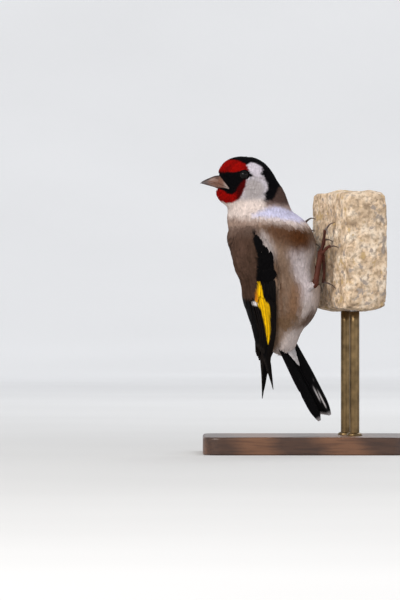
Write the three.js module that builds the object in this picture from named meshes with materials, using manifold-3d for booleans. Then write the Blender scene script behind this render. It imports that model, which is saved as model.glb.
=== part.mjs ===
// A life-size goldfinch that clings upright to a cut piece of wall stone, on a small display stand.
// Millimetres, +Z up. The origin is the centre of the base's underside. The bird's breast faces +X,
// its right side faces -Y, and its head is turned back over the shoulder so that the bill points to -X.
import * as THREE from "three";
import { mergeVertices } from "three/addons/utils/BufferGeometryUtils.js";
import Module from "manifold-3d";

const wasm = await Module();
wasm.setup();

const V3 = (x, y, z) => new THREE.Vector3(x, y, z);
const RAD = Math.PI / 180;
const { lerp: mix, clamp } = THREE.MathUtils;

// Driving sizes
const GAP = 0.3;
const CLEAR = 0.35;
const BODY_YAW = 15 * RAD;
const BODY_LEAN = 9.3 * RAD;
const BREAST = { at: V3(-13.6, 0, 91.5), radii: V3(18.6, 16, 19) };
const MANTLE = { at: V3(-20.5, 0, 95), radii: V3(12.6, 13.4, 17) };
const BELLY = { at: V3(-10.3, 0, 73.5), radii: V3(17, 15.2, 20) };
const VENT = { at: V3(-11.4, 0, 58), radii: V3(9.5, 9.5, 13) };
const NECK = { at: V3(-20.6, -0.3, 108), radii: V3(13.2, 12.2, 10) };
const NAPE = { at: V3(-17.2, -0.5, 112.5), radii: V3(8.6, 8.4, 11) };
const SKULL = { at: V3(-26.6, -0.8, 123), radii: V3(10.6, 8.4, 10.3) };
const CROWN = { at: V3(-22.8, -0.8, 121), radii: V3(8.8, 7.6, 8.6) };
const FOREHEAD = { at: V3(-32.1, -0.8, 124.1), radii: V3(6.9, 6.2, 7.7) };
const CHEEKS = { at: V3(-27, -0.8, 117.3), radii: V3(10.3, 8.7, 7.3) };
const CHIN = { at: V3(-34.2, -0.8, 117.2), radii: V3(5.2, 4.8, 4.4) };
const BLEND = 4;
const HEAD_CUT = { at: V3(-21, 0, 112.4), slope: 5 * RAD };
const NECK_CUT = { at: V3(-17, 0, 102.6), slope: -6 * RAD };
const EYE = { x: -27.5, z: 124.9, radius: 2.45, sunk: 1.25 };
const BILL = {
  tip: V3(-47.2, -0.8, 121.4), root: -36.2, depth: 4.8, chin: 3.1, width: 3.5, flange: 0.2, blunt: 0.02,
  brow: -38.3, jaw: -39.6, dip: -41, gape: -34.2, drop: 2.7,
};
const NOSTRIL = { x: -39.6, side: 2.2, rise: 2.45, radius: 0.42 };
const WING = { top: 101.5, core: 0.8, lift: 0.45, coreEnd: 0.46 };
const TAIL = { root: V3(-11.8, 0, 53), tip: V3(7.9, 1, 15), twist: 47 * RAD, width: 6.4, rootWidth: 3.4, fork: 3.2 };
const QUILLS = { side: 6, width: 5.6, thickness: 0.52, step: 0.34 };
const TAIL_COVERTS = {
  root: 2.6, end: 3.2, width: 4.2, rise: 0.75, under: { count: 5, reach: 17 }, over: { count: 4, reach: 12 },
};
const TAIL_STUB = { from: -2, to: 9, rise: 0.9, root: 3, end: 1.3 };
const VANE = { thickness: 0.55, tilt: 0.55 };
const THIGH = { root: 4.6, heel: 1.6 };
const SHANK_RADIUS = 1.25;
const HUB = { radius: 1.05, half: 2 };
const TOE = { radius: 0.72, pad: 0.1 };
const TOE_SPREAD = { inner: 1.9, middle: 0, outer: -1.9, hind: 0 };
const HIND_ROOT = V3(0.9, 0.4, -1);
const CLAW = { root: 0.62, tip: 0.09, curve: 0.22 };
const STONE = {
  at: V3(13.5, -8, 91), yaw: 20 * RAD, width: 46, height: 54, depth: 20, shift: 8,
  eased: 0.035, gripped: 0.5, rough: 1.3,
};
const STAND = { length: 92, width: 78, height: 8, corner: 8, rod: 2.2, sink: 4, intoStone: -1 };

// Directions of the body: ventral, towards the bird's right, and up along the body
const VENTRAL = V3(Math.cos(BODY_YAW), -Math.sin(BODY_YAW), 0);
const DORSAL = VENTRAL.clone().negate();
const RIGHT = V3(-Math.sin(BODY_YAW), -Math.cos(BODY_YAW), 0);

// The colours seen from a few steps away
const paint = (color, roughness, metalness = 0) =>
  new THREE.MeshStandardMaterial({ color, roughness, metalness });
const FINISH = {
  headCoat: paint(0x6d1d18, 0.85),
  neckCoat: paint(0xc9bfb4, 0.9),
  bodyCoat: paint(0xa98f76, 0.9),
  thighCoat: paint(0xbfae99, 0.9),
  wingCoat: paint(0x17140f, 0.6),
  tailCoat: paint(0x1c1a18, 0.6),
  bill: paint(0xcfae9f, 0.45),
  eye: paint(0x100a08, 0.08),
  leg: paint(0x8a5a48, 0.6),
  claw: paint(0x3a2a24, 0.4),
  stone: paint(0xb8a78c, 0.95),
  wood: paint(0x4a3626, 0.5),
  rod: paint(0x6b6458, 0.35, 0.8),
};

const model = new THREE.Group();

// Closed meshes and what joins them

function signedVolume(points, faces) {
  return faces.reduce((sum, [a, b, c]) => {
    return sum + points[a].dot(V3().crossVectors(points[b], points[c])) / 6;
  }, 0);
}

function meshOf(points, faces) {
  const outward = signedVolume(points, faces) < 0 ? faces.map(([a, b, c]) => [a, c, b]) : faces;
  const geometry = new THREE.BufferGeometry();
  geometry.setAttribute("position", new THREE.Float32BufferAttribute(points.flatMap((p) => p.toArray()), 3));
  geometry.setIndex(outward.flat());
  return geometry;
}

function solid(geometry) {
  const bare = geometry.clone();
  bare.deleteAttribute("normal");
  bare.deleteAttribute("uv");
  const merged = mergeVertices(bare, 1e-5);
  return new wasm.Manifold(new wasm.Mesh({
    numProp: 3,
    vertProperties: new Float32Array(merged.attributes.position.array),
    triVerts: new Uint32Array(merged.index.array),
  }));
}

const joined = (solids) => solids.reduce((whole, next) => whole.add(next));
const cutBy = (whole, tools) => tools.reduce((rest, tool) => rest.subtract(tool), whole);

function largest(whole) {
  return whole.decompose().reduce((best, next) => (next.volume() > best.volume() ? next : best));
}

function addNode(name, whole, material) {
  const mesh = largest(whole).getMesh();
  const geometry = new THREE.BufferGeometry();
  geometry.setAttribute("position", new THREE.Float32BufferAttribute(mesh.vertProperties, 3));
  geometry.setIndex(new THREE.Uint32BufferAttribute(mesh.triVerts, 1));
  geometry.computeVertexNormals();
  const node = new THREE.Mesh(geometry, material);
  node.name = name;
  model.add(node);
}

// Rings of equally many points, closed at both ends by a fan about the end's centre
function loft(rings) {
  const sides = rings[0].length;
  const middle = (ring) => ring.reduce((sum, p) => sum.add(p), V3()).divideScalar(sides);
  const points = [...rings.flat(), middle(rings[0]), middle(rings.at(-1))];
  const first = points.length - 2;
  const faces = [];
  for (let r = 0; r < rings.length - 1; r++) {
    for (let s = 0; s < sides; s++) {
      const a = r * sides + s;
      const b = r * sides + (s + 1) % sides;
      faces.push([a, b, b + sides], [a, b + sides, a + sides]);
    }
  }
  const last = (rings.length - 1) * sides;
  for (let s = 0; s < sides; s++) {
    const next = (s + 1) % sides;
    faces.push([first, next, s], [first + 1, last + s, last + next]);
  }
  return meshOf(points, faces);
}

// A plate between two surfaces over the unit square, split into triangles alike on both
function plate(outer, inner, along, across) {
  const points = [];
  const faces = [];
  const row = across + 1;
  const face = row * (along + 1);
  for (const surface of [outer, inner]) {
    for (let i = 0; i <= along; i++) {
      for (let j = 0; j <= across; j++) points.push(surface(i / along, j / across));
    }
  }
  for (let i = 0; i < along; i++) {
    for (let j = 0; j < across; j++) {
      const a = i * row + j;
      faces.push([a, a + row, a + row + 1], [a, a + row + 1, a + 1]);
      faces.push([face + a, face + a + row + 1, face + a + row], [face + a, face + a + 1, face + a + row + 1]);
    }
  }
  const rim = [];
  for (let i = 0; i < along; i++) rim.push([i * row, (i + 1) * row]);
  for (let j = 0; j < across; j++) rim.push([along * row + j, along * row + j + 1]);
  for (let i = along; i > 0; i--) rim.push([i * row + across, (i - 1) * row + across]);
  for (let j = across; j > 0; j--) rim.push([j, j - 1]);
  for (const [a, b] of rim) faces.push([a, face + a, face + b], [a, face + b, b]);
  return meshOf(points, faces);
}

// A limb along a smooth curve, with a radius at each step
function limb(stops, radiusAt, { sides = 8, steps = 8, grow = 0 } = {}) {
  const curve = new THREE.CatmullRomCurve3(stops, false, "centripetal");
  const frames = curve.computeFrenetFrames(steps, false);
  const rings = [];
  for (let i = 0; i <= steps; i++) {
    const t = i / steps;
    const centre = curve.getPointAt(t);
    if (i === 0) centre.addScaledVector(frames.tangents[0], -grow);
    if (i === steps) centre.addScaledVector(frames.tangents[steps], grow);
    const ring = [];
    for (let s = 0; s < sides; s++) {
      const turn = 2 * Math.PI * s / sides;
      ring.push(centre.clone()
        .addScaledVector(frames.normals[i], (radiusAt(t) + grow) * Math.cos(turn))
        .addScaledVector(frames.binormals[i], (radiusAt(t) + grow) * Math.sin(turn)));
    }
    rings.push(ring);
  }
  return solid(loft(rings));
}

function ball(centre, radius, sides = 14) {
  const sphere = new THREE.SphereGeometry(radius, sides, Math.round(sides * 0.7));
  return solid(sphere.translate(centre.x, centre.y, centre.z));
}

// The body as rounded lumps that flow into each other

const LEANING_UP = V3(-Math.sin(BODY_LEAN), 0, Math.cos(BODY_LEAN));
const LEANING_VENTRAL = V3().crossVectors(RIGHT, LEANING_UP).negate().normalize();
const LEANING_RIGHT = V3().crossVectors(LEANING_UP, LEANING_VENTRAL).negate();

function lump({ at, radii }, axes) {
  return (p) => {
    const d = p.clone().sub(at);
    const q = V3(...axes.map((axis) => d.dot(axis)));
    const k0 = q.clone().divide(radii).length();
    const k1 = q.clone().divide(radii).divide(radii).length();
    return k1 < 1e-9 ? -Math.min(...radii.toArray()) : k0 * (k0 - 1) / k1;
  };
}

const BODY_AXES = [LEANING_VENTRAL, LEANING_RIGHT, LEANING_UP];
const HEAD_AXES = [V3(1, 0, 0), V3(0, 1, 0), V3(0, 0, 1)];
const bodyLumps = [BREAST, MANTLE, BELLY, VENT].map((part) => lump(part, BODY_AXES));
const headLumps = [NECK, NAPE, SKULL, CROWN, FOREHEAD, CHEEKS, CHIN].map((part) => lump(part, HEAD_AXES));

function flow(a, b, width) {
  const h = Math.max(width - Math.abs(a - b), 0) / width;
  return Math.min(a, b) - h * h * width / 4;
}

const torsoDepth = (p) => bodyLumps.map((f) => f(p)).reduce((a, b) => flow(a, b, BLEND));
const bodyDepth = (p) => headLumps.map((f) => f(p)).reduce((a, b) => flow(a, b, BLEND), torsoDepth(p));

// The axis that the body's level rings are measured from: height, then X
const SPINE = [[10, -18], [42, -17], [54, -12.8], [66, -10.4], [80, -11.3], [92, -13.6],
  [104, -17.8], [112, -21], [122, -25.5], [140, -27]];

function spineAt(z) {
  const next = SPINE.findIndex(([height]) => height >= z);
  const [z1, x1] = SPINE[Math.max(next, 1)];
  const [z0, x0] = SPINE[Math.max(next, 1) - 1];
  return V3(THREE.MathUtils.mapLinear(z, z0, z1, x0, x1), -0.4, z);
}

// The point on a ray where the depth reaches a level
function reach(depth, origin, direction, level = 0) {
  let near = 0;
  let far = 45;
  for (let i = 0; i < 36; i++) {
    const middle = (near + far) / 2;
    if (depth(origin.clone().addScaledVector(direction, middle)) < level) near = middle;
    else far = middle;
  }
  return origin.clone().addScaledVector(direction, near);
}

// Level rings up the body, closer together towards the vent and the crown
const RINGS = { sides: 36, half: 18, shoulder: 106, ventEase: 0.25, crownEase: 0.12 };

function bodyRings(level) {
  const { sides, half, shoulder, ventEase, crownEase } = RINGS;
  const bottom = reach(bodyDepth, spineAt(VENT.at.z + 2), V3(0, 0, -1), level).z + ventEase;
  const crown = reach(bodyDepth, spineAt(SKULL.at.z - 1), V3(0, 0, 1), level).z - crownEase;
  const heights = [];
  for (let i = 0; i <= half; i++) {
    const t = i / half;
    heights.push(mix(bottom, shoulder, t ** (1 + 0.5 * (1 - t))));
  }
  for (let i = 1; i <= half; i++) {
    heights.push(mix(shoulder, crown, 1 - (1 - i / half) ** 1.35));
  }
  return heights.map((z) => {
    const ring = [];
    for (let s = 0; s < sides; s++) {
      const turn = 2 * Math.PI * s / sides;
      ring.push(reach(bodyDepth, spineAt(z), V3(Math.cos(turn), Math.sin(turn), 0), level));
    }
    return ring;
  });
}

const body = solid(loft(bodyRings(0)));
const clearBody = solid(loft(bodyRings(CLEAR)));

function partingSlab({ at, slope }) {
  const slab = new THREE.BoxGeometry(120, 120, GAP);
  slab.rotateY(-slope);
  slab.translate(at.x, at.y, at.z);
  return solid(slab);
}

// Bill: two horn sheaths that meet along the mouth line and flare at the gape to the sides of the face

function mouthLine(x) {
  const along = Math.max(0, (x - BILL.dip) / (BILL.gape - BILL.dip));
  return BILL.tip.z + 0.1 - BILL.drop * along ** 1.5;
}

function faceSide(x, z) {
  return reach(bodyDepth, V3(x, BILL.tip.y, z), V3(0, 1, 0)).y - BILL.tip.y;
}

// How much of the bill's cone is left at a place along it, and how high a sheath stands there
const cone = (x) => clamp((x - BILL.tip.x) / (BILL.root - BILL.tip.x), BILL.blunt, 1);

function sheathHeight(upper, x) {
  const hinge = upper ? BILL.brow : BILL.jaw;
  const full = upper ? BILL.depth * cone(Math.min(x, hinge)) ** 0.8 : BILL.chin * cone(Math.min(x, hinge)) ** 0.95;
  return full * mix(1, 0.1, clamp((x - hinge) / (BILL.gape - hinge), 0, 1));
}

function billSheath(upper, grow = 0) {
  const steps = 11;
  const sides = 11;
  const away = upper ? 1 : -1;
  const rings = [];
  for (let i = 0; i <= steps; i++) {
    const x = mix(BILL.gape + grow, BILL.tip.x - grow * 0.5, i / steps);
    const high = sheathHeight(upper, x) + 2 * grow;
    const level = mouthLine(x) + away * (GAP / 2 - grow);
    const power = mix(1, 0.45, THREE.MathUtils.smoothstep(x, BILL.brow - 1, BILL.brow + 1));
    const ring = [];
    for (let s = 0; s < sides; s++) {
      const turn = Math.PI * s / (sides - 1);
      const z = level + away * high * Math.abs(Math.sin(turn)) ** power;
      const wide = Math.max(BILL.width * cone(x) ** 0.82, faceSide(x, z) + BILL.flange) + grow;
      ring.push(V3(x, BILL.tip.y + wide * Math.sign(Math.cos(turn)) * Math.abs(Math.cos(turn)) ** power, z));
    }
    rings.push(ring);
  }
  return solid(loft(rings));
}

function nostrilPits() {
  const { x, side, rise, radius } = NOSTRIL;
  return [-1, 1].map((left) => ball(V3(x, BILL.tip.y + left * side, BILL.tip.z + rise), radius, 10));
}

// Eyes in their sockets, with a lid all round

function eyeSeat(side) {
  const inside = V3(EYE.x, SKULL.at.y, EYE.z);
  const skin = reach(bodyDepth, inside, V3(0, side, 0));
  return { skin, centre: skin.clone().add(V3(0, -side * EYE.sunk, 0)) };
}

function lidRing(side) {
  const { skin } = eyeSeat(side);
  const ring = new THREE.TorusGeometry(EYE.radius + 0.05, 0.55, 6, 16);
  ring.rotateX(Math.PI / 2);
  ring.rotateZ(side * 7 * RAD);
  ring.rotateX(side * 6 * RAD);
  return solid(ring.translate(skin.x, skin.y - side * 0.1, skin.z));
}

const sections = cutBy(body, [partingSlab(HEAD_CUT), partingSlab(NECK_CUT)]).decompose()
  .sort((a, b) => a.boundingBox().min[2] - b.boundingBox().min[2]);
const [torso, neck, skull] = sections;
const HEAD_LEFT = -1;

const billEnvelope = [true, false].map((upper) => billSheath(upper, GAP));
const head = cutBy(joined([skull, lidRing(-1), lidRing(1)]), [
  ball(eyeSeat(-1).centre, EYE.radius + GAP),
  ball(eyeSeat(1).centre, EYE.radius + GAP),
  ...billEnvelope,
]);

addNode("head", head, FINISH.headCoat);
addNode("bill_upper", cutBy(billSheath(true), nostrilPits()), FINISH.bill);
addNode("bill_lower", billSheath(false), FINISH.bill);
for (const side of [-1, 1]) {
  addNode(side === HEAD_LEFT ? "eye_left" : "eye_right", ball(eyeSeat(side).centre, EYE.radius), FINISH.eye);
}
addNode("neck", neck, FINISH.neckCoat);
addNode("torso", torso, FINISH.bodyCoat);

// Wings, folded over the flanks and back and hanging free of the body towards their tips

const WING_TRAIL = { at: V3(-18, 0, 50), radii: V3(4.8, 6.2, 40) };
const wingTrail = lump(WING_TRAIL, HEAD_AXES);
const wingDepth = (p) => flow(torsoDepth(p), wingTrail(p), 7);
const WING_SIDES = {
  right: { side: 1, tip: 28, tipTurn: 150, droop: 2 },
  left: { side: -1, tip: 24, tipTurn: 70, droop: -4 },
};

// A place on a wing: height, turn in degrees from the middle of the back, and level over the flank
function wingPoint(side, z, turn, level) {
  const direction = DORSAL.clone().multiplyScalar(Math.cos(turn * RAD))
    .addScaledVector(RIGHT, side * Math.sin(turn * RAD));
  return reach(wingDepth, spineAt(z), direction, level);
}

// Along the folded wing from its bend (0) to its tip (1), and across it from the back's side (0) to the
// leading edge (1)
function wingSpan({ tip, tipTurn, droop }) {
  const leading = (u) => mix(85 + 32 * u * (1 - u) + droop, tipTurn, u ** 5);
  const trailing = (u) => mix(mix(46, 18, Math.min(1, u * 4)), tipTurn - 40, Math.max(0, u - 0.35) ** 2 / 0.4225);
  return {
    z: (u) => mix(WING.top, tip, u),
    turn: (u, v) => mix(trailing(u), leading(u), v),
  };
}

function wingCore(wing) {
  const span = wingSpan(wing);
  const surface = (level) => (s, v) => {
    const u = s * WING.coreEnd;
    const narrow = 0.5 + (v - 0.5) * (1 - 0.25 * s ** 4);
    return wingPoint(wing.side, span.z(u), span.turn(u, narrow), level);
  };
  return solid(plate(surface(WING.lift + WING.core), surface(WING.lift), 6, 3));
}

// One vane from its root to its tip, both given along and across the wing
function vane(wing, { root, tip, width, low, high, bluntness = 0.3, steps = 3 }) {
  const span = wingSpan(wing);
  const middle = (t) => [mix(root[0], tip[0], t), mix(root[1], tip[1], t ** 0.8)];
  const surface = (rise) => (t, side) => {
    const [u, v] = middle(t);
    const z = span.z(u);
    const turn = span.turn(u, v);
    const level = mix(low, high, Math.min(1, t * 1.6));
    const reachOut = wingPoint(wing.side, z, turn, level).distanceTo(spineAt(z));
    const swell = Math.min(1, 0.6 + 1.2 * t) * (1 - (1 - bluntness) * Math.max(0, (t - 0.62) / 0.38) ** 1.6);
    const across = (side - 0.5) * width * swell;
    return wingPoint(wing.side, z, turn + across / reachOut / RAD, level + VANE.tilt * (side - 0.5) + rise);
  };
  return solid(plate(surface(VANE.thickness / 2), surface(-VANE.thickness / 2), steps, 1));
}

// Rows of vanes, each from first to last: where they root, where they end, and their levels
const VANE_ROWS = [
  { // primaries
    count: 6, root: [[0.24, 0.9], [0.3, 0.6]], tip: [[0.995, 0.86], [0.82, 0.62]],
    width: [4, 5.2], low: 0.8, high: 1, bluntness: 0.12, steps: 4,
  },
  { // secondaries
    count: 4, root: [[0.3, 0.62], [0.32, 0.3]], tip: [[0.77, 0.5], [0.73, 0.2]],
    width: [6, 6.4], low: 0.9, high: 1.3, steps: 3,
  },
  { // tertials
    count: 3, root: [[0.3, 0.34], [0.28, 0.16]], tip: [[0.68, 0.22], [0.5, 0.12]],
    width: [6, 6.4], low: 1.2, high: 1.7, steps: 3,
  },
  { // greater coverts
    count: 5, root: [[0.22, 0.84], [0.22, 0.2]], tip: [[0.44, 0.84], [0.41, 0.2]],
    width: [5.4, 5.8], low: 1, high: 1.85, steps: 2,
  },
  { // median coverts
    count: 5, root: [[0.11, 0.82], [0.11, 0.22]], tip: [[0.3, 0.84], [0.29, 0.2]],
    width: [5.6, 5.8], low: 1.2, high: 2.35, steps: 2,
  },
  { // lesser coverts
    count: 4, root: [[0.015, 0.74], [0.015, 0.26]], tip: [[0.18, 0.84], [0.18, 0.2]],
    width: [5.8, 6.2], low: 1, high: 2.6, steps: 2,
  },
  { // bastard wing
    count: 1, root: [[0.13, 0.95], [0.13, 0.95]], tip: [[0.38, 0.95], [0.38, 0.95]],
    width: [3.2, 3.2], low: 1, high: 1.9, steps: 2,
  },
];

function wingVanes(wing) {
  return VANE_ROWS.flatMap(({ count, root, tip, width, ...form }) => {
    return Array.from({ length: count }, (_, i) => {
      const t = count > 1 ? i / (count - 1) : 0;
      const between = ([from, to]) => from.map((value, k) => mix(value, to[k], t));
      return vane(wing, { root: between(root), tip: between(tip), width: mix(...width, t), ...form });
    });
  });
}

for (const [name, wing] of Object.entries(WING_SIDES)) {
  const feathered = joined([wingCore(wing), ...wingVanes(wing)]);
  addNode(`wing_${name}`, cutBy(feathered, [clearBody]), FINISH.wingCoat);
}

// Tail, twisted so that its underside turns to the right: six quills a side, the outermost lowest,
// with coverts over and under their roots

const TAIL_DOWN = TAIL.tip.clone().sub(TAIL.root).normalize();
const TAIL_UNDER = V3().crossVectors(V3(0, -1, 0), TAIL_DOWN).normalize();
const tailSide = V3(0, -Math.cos(TAIL.twist), 0).addScaledVector(TAIL_UNDER, -Math.sin(TAIL.twist));
const tailUnder = V3().crossVectors(tailSide, TAIL_DOWN).normalize();

function tailVane({ from, to, length, start = 0, width, rise, risen = rise, steps = 4, bluntness = 0.35 }) {
  const surface = (lift) => (t, side) => {
    const swell = Math.min(1, 0.55 + 0.9 * t) * (1 - (1 - bluntness) * Math.max(0, (t - 0.75) / 0.25) ** 2);
    return TAIL.root.clone()
      .addScaledVector(TAIL_DOWN, mix(start, length, t))
      .addScaledVector(tailSide, mix(from, to, t) + (side - 0.5) * width * swell)
      .addScaledVector(tailUnder, mix(rise, risen, Math.min(1, 2 * t)) + lift);
  };
  return solid(plate(surface(QUILLS.thickness / 2), surface(-QUILLS.thickness / 2), steps, 1));
}

function tailQuills() {
  const full = TAIL.tip.distanceTo(TAIL.root);
  const quills = [];
  for (const side of [-1, 1]) {
    for (let i = 0; i < QUILLS.side; i++) {
      const place = (i + 0.5) / QUILLS.side;
      quills.push(tailVane({
        from: side * place * TAIL.rootWidth,
        to: side * place * (TAIL.width - QUILLS.width / 2 + 0.4),
        length: full - TAIL.fork * (1 - place),
        width: QUILLS.width,
        rise: QUILLS.step * (i + 0.5),
        steps: 3,
      }));
    }
  }
  return quills;
}

function tailCoverts(face, { count, reach: reachDown }) {
  const { root, end, width, rise } = TAIL_COVERTS;
  const level = face > 0 ? QUILLS.step * (QUILLS.side - 1) + 0.2 : -0.2;
  return Array.from({ length: count }, (_, i) => {
    const place = 2 * i / (count - 1) - 1;
    return tailVane({
      from: place * root,
      to: place * end,
      start: 1.5 + 0.8 * Math.abs(place),
      length: reachDown - 4.5 * Math.abs(place),
      width,
      rise: level,
      risen: level + face * rise,
      steps: 3,
      bluntness: 0.15,
    });
  });
}

function tailStub() {
  const { from, to, rise, root, end } = TAIL_STUB;
  const stops = [from, to].map((along) => {
    return TAIL.root.clone().addScaledVector(TAIL_DOWN, along).addScaledVector(tailUnder, rise);
  });
  return limb(stops, (t) => mix(root, end, t), { sides: 10, steps: 3 });
}

const tailParts = [
  tailStub(),
  ...tailQuills(),
  ...tailCoverts(1, TAIL_COVERTS.under),
  ...tailCoverts(-1, TAIL_COVERTS.over),
];
addNode("tail", cutBy(joined(tailParts), [clearBody]), FINISH.tailCoat);

// Legs: a feathered thigh, a bare shank and four toes with claws

const LEGS = {
  right: {
    heel: V3(4.3, -11.2, 76), fork: V3(7, -9.4, 90), thigh: V3(-3, -9, 72), across: V3(-0.3, 0.95, 0.1),
    toes: {
      inner: { bend: V3(8.3, -6.3, 94), knuckle: V3(8.6, -5.6, 95.9), tip: V3(12.6, -5.2, 95) },
      middle: { bend: V3(8.3, -9, 96), knuckle: V3(8.7, -8.8, 99.9), tip: V3(13.6, -8.2, 103.7) },
      outer: { bend: V3(9.6, -11.4, 92.2), knuckle: V3(10.9, -11.6, 92.9), tip: V3(15, -11.3, 92.2) },
      hind: { bend: V3(8.4, -8.6, 82), knuckle: V3(8.1, -8.5, 77), tip: V3(14, -8.2, 73.8) },
    },
  },
  left: {
    heel: V3(4.2, 10.6, 81), fork: V3(1.4, 12.2, 95.5), thigh: V3(-3, 8, 75), across: V3(-0.3, 0.95, 0.1),
    toes: {
      inner: { bend: V3(3.2, 10.8, 95.2), knuckle: V3(4, 10.7, 94.6), tip: V3(7, 10.4, 92.7) },
      middle: { bend: V3(0.6, 13.2, 101.5), knuckle: V3(0.5, 13.9, 104.2), tip: V3(5.5, 15, 105.3) },
      outer: { bend: V3(1.2, 15.3, 97.8), knuckle: V3(1.6, 16.5, 99.2), tip: V3(4.9, 17.4, 100) },
      hind: { bend: V3(2.6, 13.6, 89), knuckle: V3(2.6, 14, 84.6), tip: V3(6.3, 14.2, 81.5) },
    },
  },
};

const shankAt = (t) => SHANK_RADIUS * (1 + 0.35 * Math.exp(-((t / 0.12) ** 2)));
const toeAt = (t) => TOE.radius * (1 + TOE.pad * Math.sin(t * Math.PI * 5));
const clawAt = (t) => CLAW.root * (1 - t) ** 0.8 + CLAW.tip;

function clawStops({ knuckle, tip }) {
  const middle = knuckle.clone().lerp(tip, 0.5);
  const lift = Math.abs(tip.x - knuckle.x) * CLAW.curve;
  middle.z += lift * (tip.z > knuckle.z ? 1 : 0.5);
  return [knuckle, middle, tip];
}

function legPieces({ heel, fork, thigh, across, toes }) {
  const shank = (grow) => joined([
    limb([heel, heel.clone().lerp(fork, 0.5), fork], shankAt, { grow }),
    limb([-HUB.half, 0, HUB.half].map((side) => fork.clone().addScaledVector(across, side)),
      () => HUB.radius, { steps: 4, grow }),
  ]);
  const pieces = { shank: { grown: shank(GAP), plain: shank(0) } };
  for (const [name, toe] of Object.entries(toes)) {
    const root = fork.clone().addScaledVector(across, TOE_SPREAD[name]);
    if (name === "hind") root.add(HIND_ROOT);
    const start = toe.knuckle.clone().sub(toe.bend).normalize().multiplyScalar(GAP);
    const shape = (grow) => limb([root, toe.bend, toe.knuckle], toeAt, { sides: 6, steps: 7, grow });
    const claw = (grow) => {
      const [from, middle, tip] = clawStops(toe);
      return limb([from.clone().add(start), middle, tip], clawAt, { sides: 6, steps: 6, grow });
    };
    pieces[`toe_${name}`] = { grown: shape(GAP), plain: shape(0) };
    pieces[`claw_${name}`] = { grown: claw(GAP), plain: claw(0) };
  }
  pieces.thigh = {
    plain: limb([thigh, thigh.clone().lerp(heel, 0.55), heel], (t) => mix(THIGH.root, THIGH.heel, t),
      { sides: 10, steps: 5 }),
  };
  return pieces;
}

const clawsGrown = [];
for (const [sideName, leg] of Object.entries(LEGS)) {
  const pieces = legPieces(leg);
  const before = [clearBody];
  for (const [name, { plain, grown }] of Object.entries(pieces)) {
    const finish = name.startsWith("claw") ? FINISH.claw : name === "thigh" ? FINISH.thighCoat : FINISH.leg;
    addNode(`${name}_${sideName}`, cutBy(plain, before), finish);
    if (grown) before.push(grown);
    if (name.startsWith("claw") || name.startsWith("toe")) clawsGrown.push(grown);
  }
}

// The cut piece of wall stone that the claws hook into

let seed = 7;
function random() {
  seed = (seed * 16807) % 2147483647;
  return seed / 2147483647;
}

function roughStone() {
  const { width, height, depth, yaw, at } = STONE;
  const block = new THREE.BoxGeometry(depth, width, height, 3, 7, 9);
  block.deleteAttribute("normal");
  block.deleteAttribute("uv");
  const stone = mergeVertices(block, 1e-5);
  const spots = stone.attributes.position;
  for (let i = 0; i < spots.count; i++) {
    const p = V3().fromBufferAttribute(spots, i);
    const edge = [p.x / depth, p.y / width, p.z / height].filter((q) => Math.abs(Math.abs(q) - 0.5) < 1e-6).length;
    const gripped = p.x < -depth / 2 + 0.1;
    p.multiplyScalar(1 - STONE.eased * (edge - 1));
    const rough = gripped ? STONE.gripped : STONE.rough;
    p.add(V3(random() - 0.5, random() - 0.5, random() - 0.5).multiplyScalar(rough));
    spots.setXYZ(i, p.x, p.y, p.z);
  }
  stone.translate(depth / 2, STONE.shift, 0);
  stone.rotateZ(yaw);
  return solid(stone.translate(at.x, at.y, at.z));
}

addNode("perch_stone", largest(cutBy(roughStone(), clawsGrown)), FINISH.stone);

// The stand: a flat base with rounded corners and two rods up to the stone

function standBase() {
  const { length, width, height, corner } = STAND;
  const outline = new THREE.Shape();
  outline.moveTo(-length / 2 + corner, -width / 2);
  for (const [sx, sy, from] of [[1, -1, -90], [1, 1, 0], [-1, 1, 90], [-1, -1, 180]]) {
    outline.absarc(sx * (length / 2 - corner), sy * (width / 2 - corner), corner, from * RAD, (from + 90) * RAD);
  }
  outline.closePath();
  return solid(new THREE.ExtrudeGeometry(outline, { depth: height, bevelEnabled: false, curveSegments: 5 }));
}

const stoneFoot = STONE.at.z - STONE.height / 2;
const RODS = { a: V3(22, -10, 0), b: V3(18.5, 7, 0) };

function rod({ x, y }, low, high, grow = 0) {
  const shaft = new THREE.CylinderGeometry(STAND.rod + grow, STAND.rod + grow, high - low, 20);
  shaft.rotateX(Math.PI / 2);
  return solid(shaft.translate(x, y, (low + high) / 2));
}

const rodFoot = STAND.height - STAND.sink;
const sockets = Object.values(RODS).map((spot) => rod(spot, rodFoot - GAP, STAND.height + STAND.sink, GAP));
addNode("stand_base", cutBy(standBase(), sockets), FINISH.wood);
for (const [name, spot] of Object.entries(RODS)) {
  addNode(`stand_rod_${name}`, rod(spot, rodFoot, stoneFoot + STAND.intoStone), FINISH.rod);
}

export default model;
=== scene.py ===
import math

import bpy
import numpy as np
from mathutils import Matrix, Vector, noise


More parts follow.
